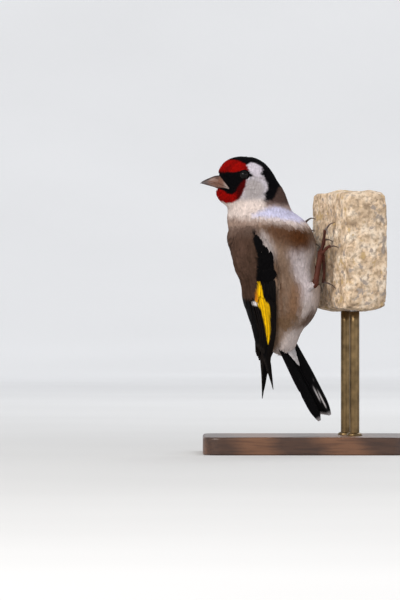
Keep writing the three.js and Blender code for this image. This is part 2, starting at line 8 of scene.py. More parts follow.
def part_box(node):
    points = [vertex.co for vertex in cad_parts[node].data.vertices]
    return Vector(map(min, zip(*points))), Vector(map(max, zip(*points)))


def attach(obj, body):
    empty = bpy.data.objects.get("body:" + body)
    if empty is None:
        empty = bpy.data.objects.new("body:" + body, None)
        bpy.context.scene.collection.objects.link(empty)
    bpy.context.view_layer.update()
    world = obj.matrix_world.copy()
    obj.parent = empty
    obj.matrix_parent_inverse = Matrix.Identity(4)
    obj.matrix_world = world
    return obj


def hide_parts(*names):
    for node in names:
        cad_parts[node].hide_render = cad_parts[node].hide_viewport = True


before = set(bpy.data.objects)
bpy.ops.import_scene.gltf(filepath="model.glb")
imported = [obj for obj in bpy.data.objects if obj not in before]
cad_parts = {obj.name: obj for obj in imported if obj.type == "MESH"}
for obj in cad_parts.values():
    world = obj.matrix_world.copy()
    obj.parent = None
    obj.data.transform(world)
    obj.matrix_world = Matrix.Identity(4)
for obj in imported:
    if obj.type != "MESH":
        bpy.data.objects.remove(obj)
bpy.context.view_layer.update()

# Sizes here are in millimetres, in the frame's own axes: the breast faces +X, the bill points to -X
# and the bird's right side faces -Y. A mesh is scaled to metres as it is made.
MM = 0.001
SEED = 11
RANDOM = np.random.default_rng(SEED)


def vec(*values):
    return np.array(values, float)


def unit(rows):
    return rows / np.maximum(np.linalg.norm(rows, axis=-1, keepdims=True), 1e-9)


def ramp(low, high, value):
    t = np.clip((value - low) / (high - low), 0, 1)
    return t * t * (3 - 2 * t)


def mix(a, b, t):
    return a + (b - a) * t


def bell(distance, width):
    return np.exp(-(distance / width) ** 2)


def size_of(rows):
    return np.linalg.norm(rows, axis=-1)


def beside(*parts):
    """Arrays set side by side along a new last axis."""
    return np.stack(parts, -1)


def grid(rows, columns):
    return np.meshgrid(rows, columns, indexing="ij")


def round_circle(count):
    return np.arange(count) * math.tau / count


def place_object(name, data):
    obj = bpy.data.objects.new(name, data)
    bpy.context.scene.collection.objects.link(obj)
    return obj


# The camera stands level at the photograph's height and sees 180 by 270 mm of the bird's plane
VIEW_CENTRE = vec(-47.25, 0, 68.85)
VIEW_DISTANCE = 2500
VIEW_HEIGHT = 270
SENSOR_WIDTH = 36
CLIP_END = 20


def make_camera():
    data = bpy.data.cameras.new("camera")
    data.sensor_width = SENSOR_WIDTH
    data.lens = SENSOR_WIDTH * VIEW_DISTANCE / VIEW_HEIGHT
    data.clip_end = CLIP_END
    camera = place_object("camera", data)
    camera.location = Vector((VIEW_CENTRE - vec(0, VIEW_DISTANCE, 0)) * MM)
    camera.rotation_euler = (math.pi / 2, 0, 0)
    bpy.context.scene.camera = camera


make_camera()


# Mesh pieces

def add_colours(mesh, name, colours):
    layer = mesh.color_attributes.new(name, "FLOAT_COLOR", "POINT")
    rgba = np.concatenate([colours, np.ones((len(colours), 1))], axis=1)
    layer.data.foreach_set("color", rgba.ravel())


def piece(name, verts, faces, material, replaces=(), tint=None, spots=None, smooth=True, barbs=None,
          facing=None):
    mesh = bpy.data.meshes.new(name)
    faces = np.asarray(faces, np.int32)
    sides = faces.shape[1]
    mesh.vertices.add(len(verts))
    mesh.vertices.foreach_set("co", (np.asarray(verts, float) * MM).ravel())
    mesh.loops.add(faces.size)
    mesh.loops.foreach_set("vertex_index", faces.ravel())
    mesh.polygons.add(len(faces))
    mesh.polygons.foreach_set("loop_start", np.arange(len(faces), dtype=np.int32) * sides)
    mesh.polygons.foreach_set("loop_total", np.full(len(faces), sides, np.int32))
    mesh.polygons.foreach_set("use_smooth", np.full(len(faces), smooth))
    if spots is not None:
        layer = mesh.uv_layers.new(name="OFBake")
        layer.data.foreach_set("uv", np.asarray(spots)[faces.ravel()].ravel())
    mesh.update(calc_edges=True)
    mesh.validate()
    if tint is not None:
        add_colours(mesh, "tint", tint)
    if barbs is not None:
        add_colours(mesh, "barbs", np.repeat(barbs[:, None], 3, 1))
    if facing is not None:
        mesh.normals_split_custom_set_from_vertices(facing.tolist())
    obj = place_object(name, mesh)
    mesh.materials.append(material)
    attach(obj, "root")
    if replaces:
        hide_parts(*replaces)


def grid_faces(rows, columns, closed=False):
    around = columns if closed else columns - 1
    i, j = grid(np.arange(rows - 1), np.arange(around))
    a = i * columns + j
    b = i * columns + (j + 1) % columns
    return beside(a, b, b + columns, a + columns).reshape(-1, 4)


def capped(rings):
    """A closed tube of equal rings, with a point at the middle of each end."""
    rows, columns = rings.shape[:2]
    verts = np.concatenate([rings.reshape(-1, 3), rings[:1].mean(1), rings[-1:].mean(1)])
    faces = [tuple(f) for f in grid_faces(rows, columns, closed=True)]
    first = rows * columns
    last = first - columns
    for s in range(columns):
        t = (s + 1) % columns
        faces.append((first, t, s, s))
        faces.append((first + 1, last + s, last + t, last + t))
    return verts, faces


def split_quads(faces):
    """Triangles from quads, leaving out those with a doubled corner."""
    faces = np.asarray(faces)
    both = np.concatenate([faces[:, [0, 1, 2]], faces[:, [0, 2, 3]]])
    fine = (both[:, 0] != both[:, 1]) & (both[:, 1] != both[:, 2]) & (both[:, 0] != both[:, 2])
    return both[fine]


def merge_shapes(shapes):
    verts, faces, start = [], [], 0
    for v, f in shapes:
        verts.append(v)
        faces.append(split_quads(f) + start)
        start += len(v)
    return np.concatenate(verts), np.concatenate(faces)


# Materials

def linear(red, green, blue):
    """A colour given in 0 to 255 display values."""
    c = np.array([red, green, blue]) / 255
    return np.where(c <= 0.04045, c / 12.92, ((c + 0.055) / 1.055) ** 2.4)


def grey(value):
    return (value,) * 3


TEXTURE_OUTPUTS = {"Noise": "Fac", "Wave": "Fac", "Voronoi": "Distance"}
UNUSED_COLOUR = (0.5, 0.5, 0.5, 1)


def new_material(name, roughness, **sockets):
    material = bpy.data.materials.new(name)
    material.use_nodes = True
    tree = material.node_tree
    shader = tree.nodes["Principled BSDF"]
    shader.inputs["Base Color"].default_value = UNUSED_COLOUR
    shader.inputs["Roughness"].default_value = roughness
    for socket, value in sockets.items():
        shader.inputs[socket.replace("_", " ")].default_value = value
    return material, tree, shader


def texture(tree, scale, detail=4, stretch=(1, 1, 1), kind="Noise", distortion=0):
    place = tree.nodes.new("ShaderNodeTexCoord")
    mapping = tree.nodes.new("ShaderNodeMapping")
    mapping.inputs["Scale"].default_value = stretch
    node = tree.nodes.new("ShaderNodeTex" + kind)
    for socket, value in (("Scale", scale), ("Detail", detail), ("Distortion", distortion)):
        if socket in node.inputs:
            node.inputs[socket].default_value = value
    tree.links.new(place.outputs["Object"], mapping.inputs["Vector"])
    tree.links.new(mapping.outputs["Vector"], node.inputs["Vector"])
    return node.outputs[TEXTURE_OUTPUTS[kind]]


def attribute(tree, name):
    node = tree.nodes.new("ShaderNodeAttribute")
    node.attribute_name = name
    return node.outputs["Color"]


def colour_ramp(tree, source, stops):
    node = tree.nodes.new("ShaderNodeValToRGB")
    elements = node.color_ramp.elements
    while len(elements) < len(stops):
        elements.new(0.5)
    for element, (place, colour) in zip(elements, stops):
        element.position = place
        element.color = (*colour, 1)
    tree.links.new(source, node.inputs["Fac"])
    return node.outputs["Color"]


def blend_colour(tree, a, b, factor, mode="MIX"):
    node = tree.nodes.new("ShaderNodeMix")
    node.data_type = "RGBA"
    node.blend_type = mode
    for socket, value in ((node.inputs[6], a), (node.inputs[7], b), (node.inputs[0], factor)):
        if isinstance(value, bpy.types.NodeSocket):
            tree.links.new(value, socket)
        elif isinstance(value, (int, float)):
            socket.default_value = value
        else:
            socket.default_value = (*value, 1)
    return node.outputs[2]


def add_bump(tree, shader, source, strength, distance):
    bump = tree.nodes.new("ShaderNodeBump")
    bump.inputs["Strength"].default_value = strength
    bump.inputs["Distance"].default_value = distance * MM
    tree.links.new(source, bump.inputs["Height"])
    tree.links.new(bump.outputs["Normal"], shader.inputs["Normal"])


def tinted(name, roughness, scale, detail, shades, bump=None, stretch=(1, 1, 1), **sockets):
    """The mesh's own colours, shaded by a noise that can be its relief too."""
    material, tree, shader = new_material(name, roughness, **sockets)
    grain = texture(tree, scale, detail, stretch)
    shade = colour_ramp(tree, grain, shades)
    colour = blend_colour(tree, attribute(tree, "tint"), shade, 1.0, "MULTIPLY")
    tree.links.new(colour, shader.inputs["Base Color"])
    if bump:
        add_bump(tree, shader, grain, *bump)
    return material


def grained(name, roughness, scale, detail, tones, bump, **sockets):
    """Tones from one noise, which is the relief too."""
    material, tree, shader = new_material(name, roughness, **sockets)
    grain = texture(tree, scale, detail)
    tree.links.new(colour_ramp(tree, grain, tones), shader.inputs["Base Color"])
    add_bump(tree, shader, grain, *bump)
    return material


def layered(name, roughness, broad, tones, fine, shades, bump, **sockets):
    """Tones from a broad texture, shaded by a fine one that is the relief too."""
    material, tree, shader = new_material(name, roughness, **sockets)
    grain = texture(tree, **fine)
    base = colour_ramp(tree, texture(tree, **broad), tones)
    colour = blend_colour(tree, base, colour_ramp(tree, grain, shades), 0.8, "MULTIPLY")
    tree.links.new(colour, shader.inputs["Base Color"])
    add_bump(tree, shader, grain, *bump)
    return material


def vane_material():
    """Barbs run slantwise from the shaft, from how far along and across a vane a place lies."""
    material = tinted("vane_feathers", 0.5, 900, 6, [(0.3, grey(0.84)), (0.7, grey(1.08))],
                      Specular_IOR_Level=0.1, IOR=1.25)
    tree = material.node_tree
    split = tree.nodes.new("ShaderNodeSeparateColor")
    wave = tree.nodes.new("ShaderNodeMath")
    wave.operation = "SINE"
    tree.links.new(attribute(tree, "barbs"), split.inputs["Color"])
    tree.links.new(split.outputs["Red"], wave.inputs[0])
    add_bump(tree, tree.nodes["Principled BSDF"], wave.outputs["Value"], 0.2, 0.05)
    return material


COAT = tinted("coat_feathers", 0.85, 1500, 6, [(0.3, grey(0.8)), (0.7, grey(1.1))], (0.3, 0.1), (1, 1, 0.3),
              Specular_IOR_Level=0.03)
VANES = vane_material()


# The body's form: rounded lumps that flow into each other, as the frame's solids have them

BODY_YAW = math.radians(15)
BODY_LEAN = math.radians(9.3)
VENTRAL = vec(math.cos(BODY_YAW), -math.sin(BODY_YAW), 0)
RIGHT = vec(-math.sin(BODY_YAW), -math.cos(BODY_YAW), 0)
LEAN_UP = vec(-math.sin(BODY_LEAN), 0, math.cos(BODY_LEAN))
LEAN_VENTRAL = unit(-np.cross(RIGHT, LEAN_UP))
LEAN_RIGHT = -np.cross(LEAN_UP, LEAN_VENTRAL)
BODY_AXES = np.array([LEAN_VENTRAL, LEAN_RIGHT, LEAN_UP])
BREAST = (vec(-13.6, 0, 91.5), vec(18.6, 16, 19), BODY_AXES)
MANTLE = (vec(-20.5, 0, 95), vec(12.6, 13.4, 17), BODY_AXES)
BELLY = (vec(-10.3, 0, 73.5), vec(17, 15.2, 20), BODY_AXES)
VENT = (vec(-11.4, 0, 58), vec(9.5, 9.5, 13), BODY_AXES)
LEVEL_AXES = np.eye(3)
NECK = (vec(-20.6, -0.3, 108), vec(13.2, 12.2, 10), LEVEL_AXES)
NAPE = (vec(-17.2, -0.5, 112.5), vec(8.6, 8.4, 11), LEVEL_AXES)
SKULL = (vec(-26.6, -0.8, 123), vec(10.6, 8.4, 10.3), LEVEL_AXES)
CROWN = (vec(-22.8, -0.8, 121), vec(8.8, 7.6, 8.6), LEVEL_AXES)
FOREHEAD = (vec(-32.1, -0.8, 124.1), vec(6.9, 6.2, 7.7), LEVEL_AXES)
CHEEKS = (vec(-27, -0.8, 117.3), vec(10.3, 8.7, 7.3), LEVEL_AXES)
CHIN = (vec(-34.2, -0.8, 117.2), vec(5.2, 4.8, 4.4), LEVEL_AXES)
WING_TRAIL = (vec(-18, 0, 50), vec(4.8, 6.2, 40), LEVEL_AXES)
BLEND, WING_BLEND = 4, 7
HEAD_MIDDLE = -0.8
SPINE_Y = -0.4
SPINE = np.array([[10, -18], [42, -17], [54, -12.8], [66, -10.4], [80, -11.3], [92, -13.6],
                  [104, -17.8], [112, -21], [122, -25.5], [140, -27]], float)
LONGEST_REACH = 45.0
HALVINGS = 26


def lump_depth(points, lump):
    centre, radii, axes = lump
    q = (points - centre) @ axes.T
    k0, k1 = size_of(q / radii), size_of(q / radii ** 2)
    return k0 * (k0 - 1) / np.maximum(k1, 1e-9)


def flow(a, b, width):
    h = np.maximum(width - np.abs(a - b), 0) / width
    return np.minimum(a, b) - h * h * width / 4


def depth_of(points, lumps):
    total = lump_depth(points, lumps[0])
    for lump in lumps[1:]:
        total = flow(total, lump_depth(points, lump), BLEND)
    return total


TORSO_LUMPS = [BREAST, MANTLE, BELLY, VENT]
BODY_LUMPS = TORSO_LUMPS + [NECK, NAPE, SKULL, CROWN, FOREHEAD, CHEEKS, CHIN]


def body_depth(points):
    return depth_of(points, BODY_LUMPS)


def wing_depth(points):
    return flow(depth_of(points, TORSO_LUMPS), lump_depth(points, WING_TRAIL), WING_BLEND)


def spine_at(z):
    z = np.asarray(z, float)
    return beside(np.interp(z, SPINE[:, 0], SPINE[:, 1]), np.full_like(z, SPINE_Y), z)


def reach(depth, origins, directions, level=0.0):
    """Where rays from inside a form come to a level of its depth."""
    near = np.zeros(len(origins))
    far = np.full(len(origins), LONGEST_REACH)
    for _ in range(HALVINGS):
        middle = (near + far) / 2
        inside = depth(origins + directions * middle[:, None]) < level
        near = np.where(inside, middle, near)
        far = np.where(inside, far, middle)
    return origins + directions * near[:, None]


def normals_of(depth, points, step=0.05):
    slopes = [depth(points + step * axis) - depth(points - step * axis) for axis in np.eye(3)]
    return unit(np.stack(slopes, -1))


def wing_point(side, z, turn, level):
    """The place over the flank at a height, and a turn in degrees from the middle of the back."""
    angle = np.radians(turn)[..., None]
    direction = -VENTRAL * np.cos(angle) + side * RIGHT * np.sin(angle)
    return reach(wing_depth, spine_at(z), direction, level)


def turn_of(points):
    """How far points lie round from the middle of the back, in degrees, alike on both sides."""
    from_spine = points - spine_at(points[:, 2])
    return np.degrees(np.arctan2(np.abs(from_spine @ RIGHT), -(from_spine @ VENTRAL)))


def roughness_of(points, scale, shift=0.0):
    return np.array([noise.noise(Vector(p * scale + shift)) for p in points])


# Colours of the coat, in 0 to 255 display values

RED = linear(144, 10, 6)
DARK_RED = linear(50, 5, 6)
BLACK = linear(9, 8, 10)
CHEEK_GREY = linear(166, 158, 157)
CHEEK_WHITE = linear(202, 194, 202)
NAPE_BROWN = linear(78, 60, 54)
NAPE_PALE = linear(168, 148, 141)
BAND_WHITE = linear(204, 202, 228)
THROAT = linear(212, 196, 188)
BUFF = linear(166, 142, 128)
BREAST_BROWN = linear(86, 59, 42)
BREAST_DARK = linear(76, 42, 18)
BREAST_GREY = linear(108, 86, 72)
BESIDE_WING = linear(176, 164, 160)
FLANK = linear(124, 102, 86)
FLANK_BROWN = linear(92, 66, 48)
RUFOUS = linear(120, 88, 64)
BELLY_PALE = linear(198, 184, 178)
BELLY_STREAK = linear(206, 196, 200)
TAN = linear(112, 86, 62)
BACK_BROWN = linear(84, 63, 53)
BACK_DARK = linear(54, 39, 30)
MANTLE_PALE = linear(118, 98, 88)
YELLOW = linear(240, 188, 5)
ORANGE = linear(176, 100, 22)
WHITE = linear(226, 220, 220)
WING_BLACK = linear(9, 8, 9)
HORN, HORN_DARK, HORN_PALE = linear(110, 76, 62), linear(36, 26, 26), linear(158, 142, 136)
QUILL_END, QUILL_RIM = linear(58, 52, 48), linear(46, 38, 33)
PUPIL, IRIS, EYE_RIM = linear(5, 4, 4), linear(12, 7, 5), linear(6, 4, 4)


def inside_shape(x, z, outline):
    """Signed distance to a closed outline, positive inside."""
    outline = np.array(outline, float)
    after = np.roll(outline, -1, axis=0)
    nearest = np.full(x.shape, 1e9)
    inside = np.zeros(x.shape, bool)
    for (ax, az), (bx, bz) in zip(outline, after):
        ex, ez = bx - ax, bz - az
        t = np.clip(((x - ax) * ex + (z - az) * ez) / (ex * ex + ez * ez), 0, 1)
        nearest = np.minimum(nearest, np.hypot(x - ax - t * ex, z - az - t * ez))
        crosses = (az > z) != (bz > z)
        at = ax + (z - az) * ex / np.where(abs(ez) < 1e-9, 1e-9, ez)
        inside ^= crosses & (x < at)
    return np.where(inside, nearest, -nearest)


def inside_turned(turn, z, outline, per_degree):
    """The same on the body, for an outline of turns and heights and a degree's width in millimetres."""
    return inside_shape(turn * per_degree, z, [(a * per_degree, b) for a, b in outline])


class Paint:
    """Colours laid over each other on a set of points."""

    def __init__(self, ground, count):
        self.colour = ground + np.zeros((count, 3))

    def lay(self, paint, amount):
        self.colour = mix(self.colour, paint, np.clip(amount, 0, 1)[:, None])


# Outlines on the head as its side shows them, X then Z

RED_FACE = [(-44, 126.2), (-44, 135), (-37, 133), (-35.1, 131.9), (-31.4, 131.8),
            (-28.4, 130.9), (-26.9, 129.7), (-25.4, 127.6), (-25.1, 126.4), (-26.9, 121.3), (-27.2, 119.2),
            (-28.4, 116.5), (-29.9, 114), (-32.6, 112.7), (-35.3, 112.4), (-37.4, 113.2), (-44, 113.2)]
BLACK_MASK = [(-38.9, 126.5), (-36.5, 126.3), (-31.4, 126.3), (-28.4, 126.8), (-25.4, 127), (-23.6, 124.4),
              (-27.2, 122.9), (-29, 121.4), (-30.2, 119.6), (-31.2, 117.2), (-32.8, 116.2), (-35, 116.5),
              (-36.4, 117.7), (-38.4, 118.6), (-44, 118.8), (-44, 126)]
COLLAR = [(-36, 145), (-35.1, 131), (-31.4, 130.9), (-28.4, 129.8), (-26.6, 129.3), (-24.5, 130.6),
          (-22.4, 130.2), (-20, 129.1), (-19.2, 127.9), (-19.7, 126.4), (-20.3, 125.5), (-18.8, 124),
          (-17.6, 121.9), (-16.8, 119.5), (-17.6, 117.7), (-18.5, 116.5), (-18, 114.9), (-18.1, 113.4),
          (-14.9, 113.6), (-13.3, 116.1), (-12.1, 119.2), (-4, 124), (-6, 145)]
NAPE_EDGE = [(-18.5, 113.6), (-17, 109.6), (-6, 109.4), (-3, 124), (-12, 119.4)]
HEAD_FROM = 111

# Outlines on the body, as turns in degrees from the middle of the back and heights

BAND = [(82, 106.9), (100, 108.4), (118, 109.9), (140, 110.6), (160, 110), (185, 108.4), (185, 105),
        (166, 104), (142, 105), (112, 106.4)]
BREAST_PATCH = [(116, 102.6), (130, 103.6), (152, 103.4), (160, 101.4), (164, 98), (156, 94.8), (142, 94.2),
                (130, 96), (118, 98), (110, 100)]


def head_colour(points, paint, rough, rough2):
    x = points[:, 0] + 0.3 * rough
    z = points[:, 2] + 0.3 * rough
    lower = ramp(112, 115.5, z)
    paint.lay(NAPE_BROWN, ramp(-17, -16, x) * ramp(112.5, 114, z))
    paint.lay(CHEEK_GREY, lower * ramp(-15.5, -18, x))
    centre = np.hypot((x + 23) / 4.2, (z - 118.5) / 4.6)
    paint.lay(CHEEK_WHITE, lower * ramp(0.75, 1.35, centre + 0.15 * rough2) * ramp(-15.5, -18, x)
              * ramp(112, 118.5, z) * 0.85)
    paint.lay(CHEEK_WHITE, ramp(124.2, 125.8, z))
    paint.lay(CHEEK_GREY * 0.75,
              0.6 * ramp(0.8, 0.2, np.abs(z - 123.9 + 0.25 * (x + 22))) * ramp(-17, -19, x))
    paint.lay(BLACK, ramp(-0.3, 0.3, inside_shape(x, z, COLLAR)))
    face = inside_shape(x, z, RED_FACE)
    paint.lay(RED, ramp(-0.3, 0.3, face))
    shadow = (ramp(-32.5, -29.5, x) * ramp(124, 121, z) + 0.5 * ramp(0.1, 0.7, rough2)
              + 0.5 * ramp(-29.5, -26, x))
    paint.lay(DARK_RED, ramp(-0.2, 0.3, face) * np.clip(shadow, 0, 0.88))
    paint.lay(BLACK, ramp(-0.35, 0.35, inside_shape(x, z, BLACK_MASK)))


def coat_colour(points):
    """The markings of the head and body at points on them."""
    z = points[:, 2]
    rough = roughness_of(points, 0.55)
    rough2 = roughness_of(points, 0.2, 30)
    streak = roughness_of(points * vec(1, 1, 0.22), 0.7, 60)
    turn = turn_of(points)
    paint = Paint(FLANK, len(points))
    soft = turn + 6 * streak
    paint.lay(FLANK_BROWN, 0.7 * ramp(124, 108, soft) * ramp(88, 80, z) * ramp(52, 60, z)
              * ramp(-0.45, 0.25, streak))
    paint.lay(BELLY_PALE, ramp(128, 154, soft) * ramp(98, 90, z + 2 * rough) * 0.9)
    paint.lay(BELLY_STREAK, 0.6 * ramp(24, 4, np.abs(soft - 143 - 0.4 * (84 - z))) * ramp(94, 90, z)
              * ramp(64, 74, z))
    paint.lay(RUFOUS, 0.75 * ramp(18, 4, np.abs(soft - 129)) * ramp(79, 74, z + 3 * rough) * ramp(57, 62, z))
    paint.lay(TAN, 0.75 * ramp(182, 162, soft) * ramp(64, 59, z + 3 * rough) * ramp(51, 54, z + 2 * streak))
    paint.lay(FLANK_BROWN * 0.7, 0.8 * ramp(6, 2, np.hypot((turn - 172) * 0.28, z - 61.2) + 2 * rough))
    paint.lay(BESIDE_WING, 0.9 * ramp(108, 96, soft) * ramp(84, 90, z) * ramp(101, 97, z + 2 * rough))
    paint.lay(BREAST_GREY, ramp(92.5, 97, z + 2 * rough2 - 0.05 * np.abs(turn - 135)) * ramp(160, 148, turn)
              * ramp(84, 98, soft + 14 * ramp(97, 101, z) - 14))
    patch = inside_turned(turn, z, BREAST_PATCH, 0.4)
    paint.lay(BREAST_BROWN, ramp(-9, 1.5, patch + 2.2 * streak))
    paint.lay(BREAST_DARK, 0.85 * ramp(6.5, 0.5, np.hypot((turn - 151) * 0.25, z - 97) + 1.5 * streak))
    paint.lay(BACK_BROWN, ramp(92, 78, turn + 5 * rough))
    paint.lay(MANTLE_PALE, ramp(92, 78, turn + 5 * rough) * ramp(96, 102, z + 2 * streak))
    paint.lay(BELLY_PALE, ramp(150, 130, turn) * ramp(56, 51, z + 1.5 * rough) * 0.6)
    paint.lay(BELLY_PALE, ramp(130, 146, soft) * ramp(57, 53, z + 1.5 * rough))
    paint.lay(TAN, 0.85 * ramp(134, 120, soft) * ramp(56, 52, z + rough))
    paint.lay(THROAT, ramp(102, 106.3, z + 1.2 * rough + 0.03 * (turn - 90)))
    paint.lay(BUFF, 0.75 * ramp(106.8, 102, z) * ramp(101, 103.5, z) * ramp(124, 96, turn))
    nape = inside_shape(points[:, 0], z, NAPE_EDGE)
    paint.lay(NAPE_BROWN, ramp(-1.6, 1.0, nape + 0.5 * rough))
    paint.lay(NAPE_PALE, ramp(-0.6, 0.8, nape) * ramp(113.5, 110, z + 0.5 * rough))
    band = inside_turned(turn, z, BAND, 0.3)
    paint.lay(BAND_WHITE, ramp(-1.3, 1.0, band + 0.5 * rough))
    above = z > HEAD_FROM
    if above.any():
        head = Paint(paint.colour[above], above.sum())
        head_colour(points[above], head, rough[above], rough2[above])
        paint.colour[above] = head.colour
    return paint.colour


# Edges of the folded wing's black panel, as heights and turns: towards the back and towards the breast
PANEL_BACK = vec(66, 76, 81, 88.7, 93.6, 101.5), vec(60, 66, 68.2, 77.2, 78, 75)
PANEL_FRONT = vec(48, 55, 65, 73.8, 78.8, 83.7, 88.7, 92.7, 96.3, 100.4, 102), vec(
    103, 95, 92.5, 94, 96, 98, 98.8, 95.2, 90, 80, 76)
YELLOW_BAR = [(67, 75.6), (72.6, 75.4), (74, 72.5), (75.2, 69.6), (77, 67.7), (82.6, 66.7), (84, 60.3),
              (88.5, 53), (91.6, 49.2), (89.5, 48.9), (81, 52.8), (74.5, 56.5), (70.5, 60.5), (67.3, 64),
              (62.5, 65.8), (58.5, 67.2), (60.5, 69.6), (64.8, 73.2)]
WING_BROWN_END = 69.3


def wing_front(z):
    return np.interp(z, *PANEL_FRONT)


def wing_colour(points):
    """The markings of a folded wing, alike on both sides."""
    z, turn = points[:, 2], turn_of(points)
    rough = roughness_of(points, 0.6)
    streak = roughness_of(points * vec(1, 1, 0.15), 0.9, 12)
    paint = Paint(WING_BLACK, len(points))
    brown = mix(BACK_BROWN, BACK_DARK, np.clip(0.3 + 0.6 * streak + 0.35 * ramp(88, 72, z)
                                               + 0.3 * ramp(55, 70, turn), 0, 1)[:, None])
    brown = mix(brown, MANTLE_PALE, (0.9 * ramp(95, 103, z + 2 * streak))[:, None])
    brown = mix(brown, BUFF, (0.5 * ramp(101.5, 104.5, z))[:, None])
    edge = np.interp(z, *PANEL_BACK) + 2.5 * rough
    paint.lay(brown, ramp(0.8, -0.8, turn - edge) * ramp(-0.8, 0.8, z - WING_BROWN_END + 2 * streak))
    paint.lay(brown, ramp(98.6, 100.2, z + 0.5 * rough))
    bar = inside_turned(turn, z, YELLOW_BAR, 0.27)
    paint.lay(YELLOW, ramp(-0.22, 0.22, bar + 0.12 * rough))
    paint.lay(ORANGE, ramp(-0.4, 0.3, bar) * ramp(67, 63, turn) * ramp(67.5, 68.5, z))
    spot = np.hypot((turn - 55) * 0.25, (z - 67.2) * 1.1)
    paint.lay(WHITE, ramp(1.5, 0.9, spot + 0.4 * rough))
    return paint.colour


# The skin: one closed surface just under the coat

SKIN_DEPTH = 0.55
TOP_FROM, BOTTOM_FROM = 122.0, 60.0
LOWEST, HIGHEST = 42.0, 136.0


def fullness(z, turn):
    """How much further the feathers stand out on the hind neck and mantle."""
    return 1.35 * ramp(95, 102, z) * ramp(113, 107, z) * ramp(75, 35, turn)


def ring_surface(level, rows, columns):
    """The body at a level of its depth, as rings that lie closest at its ends."""
    top = reach(body_depth, spine_at([TOP_FROM]), vec(0, 0, 1)[None], level)[0, 2]
    bottom = reach(body_depth, spine_at([BOTTOM_FROM]), vec(0, 0, -1)[None], level)[0, 2]
    t = np.linspace(0, 1, rows)
    up = 0.5 - 0.5 * np.cos(np.pi * t) * (1 - 0.35 * np.sin(np.pi * t) ** 2)
    z, around = [v.ravel() for v in grid(mix(bottom + 0.05, top - 0.03, up), round_circle(columns))]
    direction = beside(np.cos(around), np.sin(around), np.zeros_like(around))
    turn = np.degrees(np.arctan2(np.abs(direction @ RIGHT), -(direction @ VENTRAL)))
    points = reach(body_depth, spine_at(z), direction, level + fullness(z, turn))
    return points.reshape(rows, columns, 3)


def on_map(spots):
    return np.clip(spots, 0.002, 0.998)


def unwrap(points, low=LOWEST, high=HIGHEST):
    """A place on a round-and-up unwrap of the body."""
    from_spine = points - spine_at(points[:, 2])
    around = np.arctan2(from_spine[:, 1], from_spine[:, 0]) / math.tau + 0.5
    return on_map(beside(around, (points[:, 2] - low) / (high - low)))


def make_skin():
    verts, faces = capped(ring_surface(-SKIN_DEPTH, 150, 140))
    # Painted shade: the skin takes the coat's colours a little darker, for the shade in the gaps between the
    # feathers
    piece("feathered_skin", verts, split_quads(faces), COAT,
          ("head", "neck", "torso", "thigh_left", "thigh_right"),
          tint=coat_colour(verts) * 0.95, spots=unwrap(verts))


make_skin()


# Small feathers: each is a thin closed vane, arched across, with a toothed end

COLUMNS = 7
STATIONS = (0.0, 0.4, 0.75)
SPREAD = (0.5, 0.95, 1.0)
ARCH = 0.11


def feather_shapes(count, ragged):
    """Single feathers as grids of how far along, how far across and how high in the arch."""
    across = np.linspace(-1, 1, COLUMNS)
    arch = 1 - across ** 2
    shapes = []
    for _ in range(count):
        rows = [np.stack([np.full(COLUMNS, s), across * wide, arch * wide], -1)
                for s, wide in zip(STATIONS, SPREAD)]
        teeth = 1 - 0.16 * across ** 2 + ragged * np.where(np.arange(COLUMNS) % 2, 0.35, -0.65)
        teeth = teeth + RANDOM.uniform(-ragged, ragged, COLUMNS) * 0.6
        rows.append(np.stack([teeth, across * 0.78, arch * 0.6], -1))
        shapes.append(np.array(rows))
    return np.array(shapes)


def feather_faces():
    """Triangles of one feather: its arched top, and a flat underside on the same rim."""
    n = COLUMNS
    faces = []
    for i in range(len(STATIONS)):
        for j in range(n - 1):
            a = i * n + j
            faces += [(a, a + n, a + n + 1), (a, a + n + 1, a + 1)]
    for j in range(n - 1):
        faces.append((j, j + 1, n))
    faces.append((n, n - 1, 2 * n - 1))
    faces += [(n, 3 * n - 1, 2 * n), (n, 2 * n - 1, 3 * n - 1)]
    for j in range(n - 1):
        faces.append((2 * n, 3 * n + j + 1, 3 * n + j))
    faces.append((2 * n, 3 * n - 1, 4 * n - 1))
    return np.array(faces)


FEATHER_FACES = feather_faces()

# How a coat feather stands, and how it takes its colour and its normals
ROOT_SUNK, TURN_SPREAD = 0.35, 0.1
COLOUR_HERE = 0.6
SHAFT_SHADE = (0.9, 1.03)
SHADE_SPREAD, TILT_SPREAD = 0.05, 0.05
CUPPED = 0.28
SPOT_SIZE = 0.0012
FORMS = 16
TRIES = 9


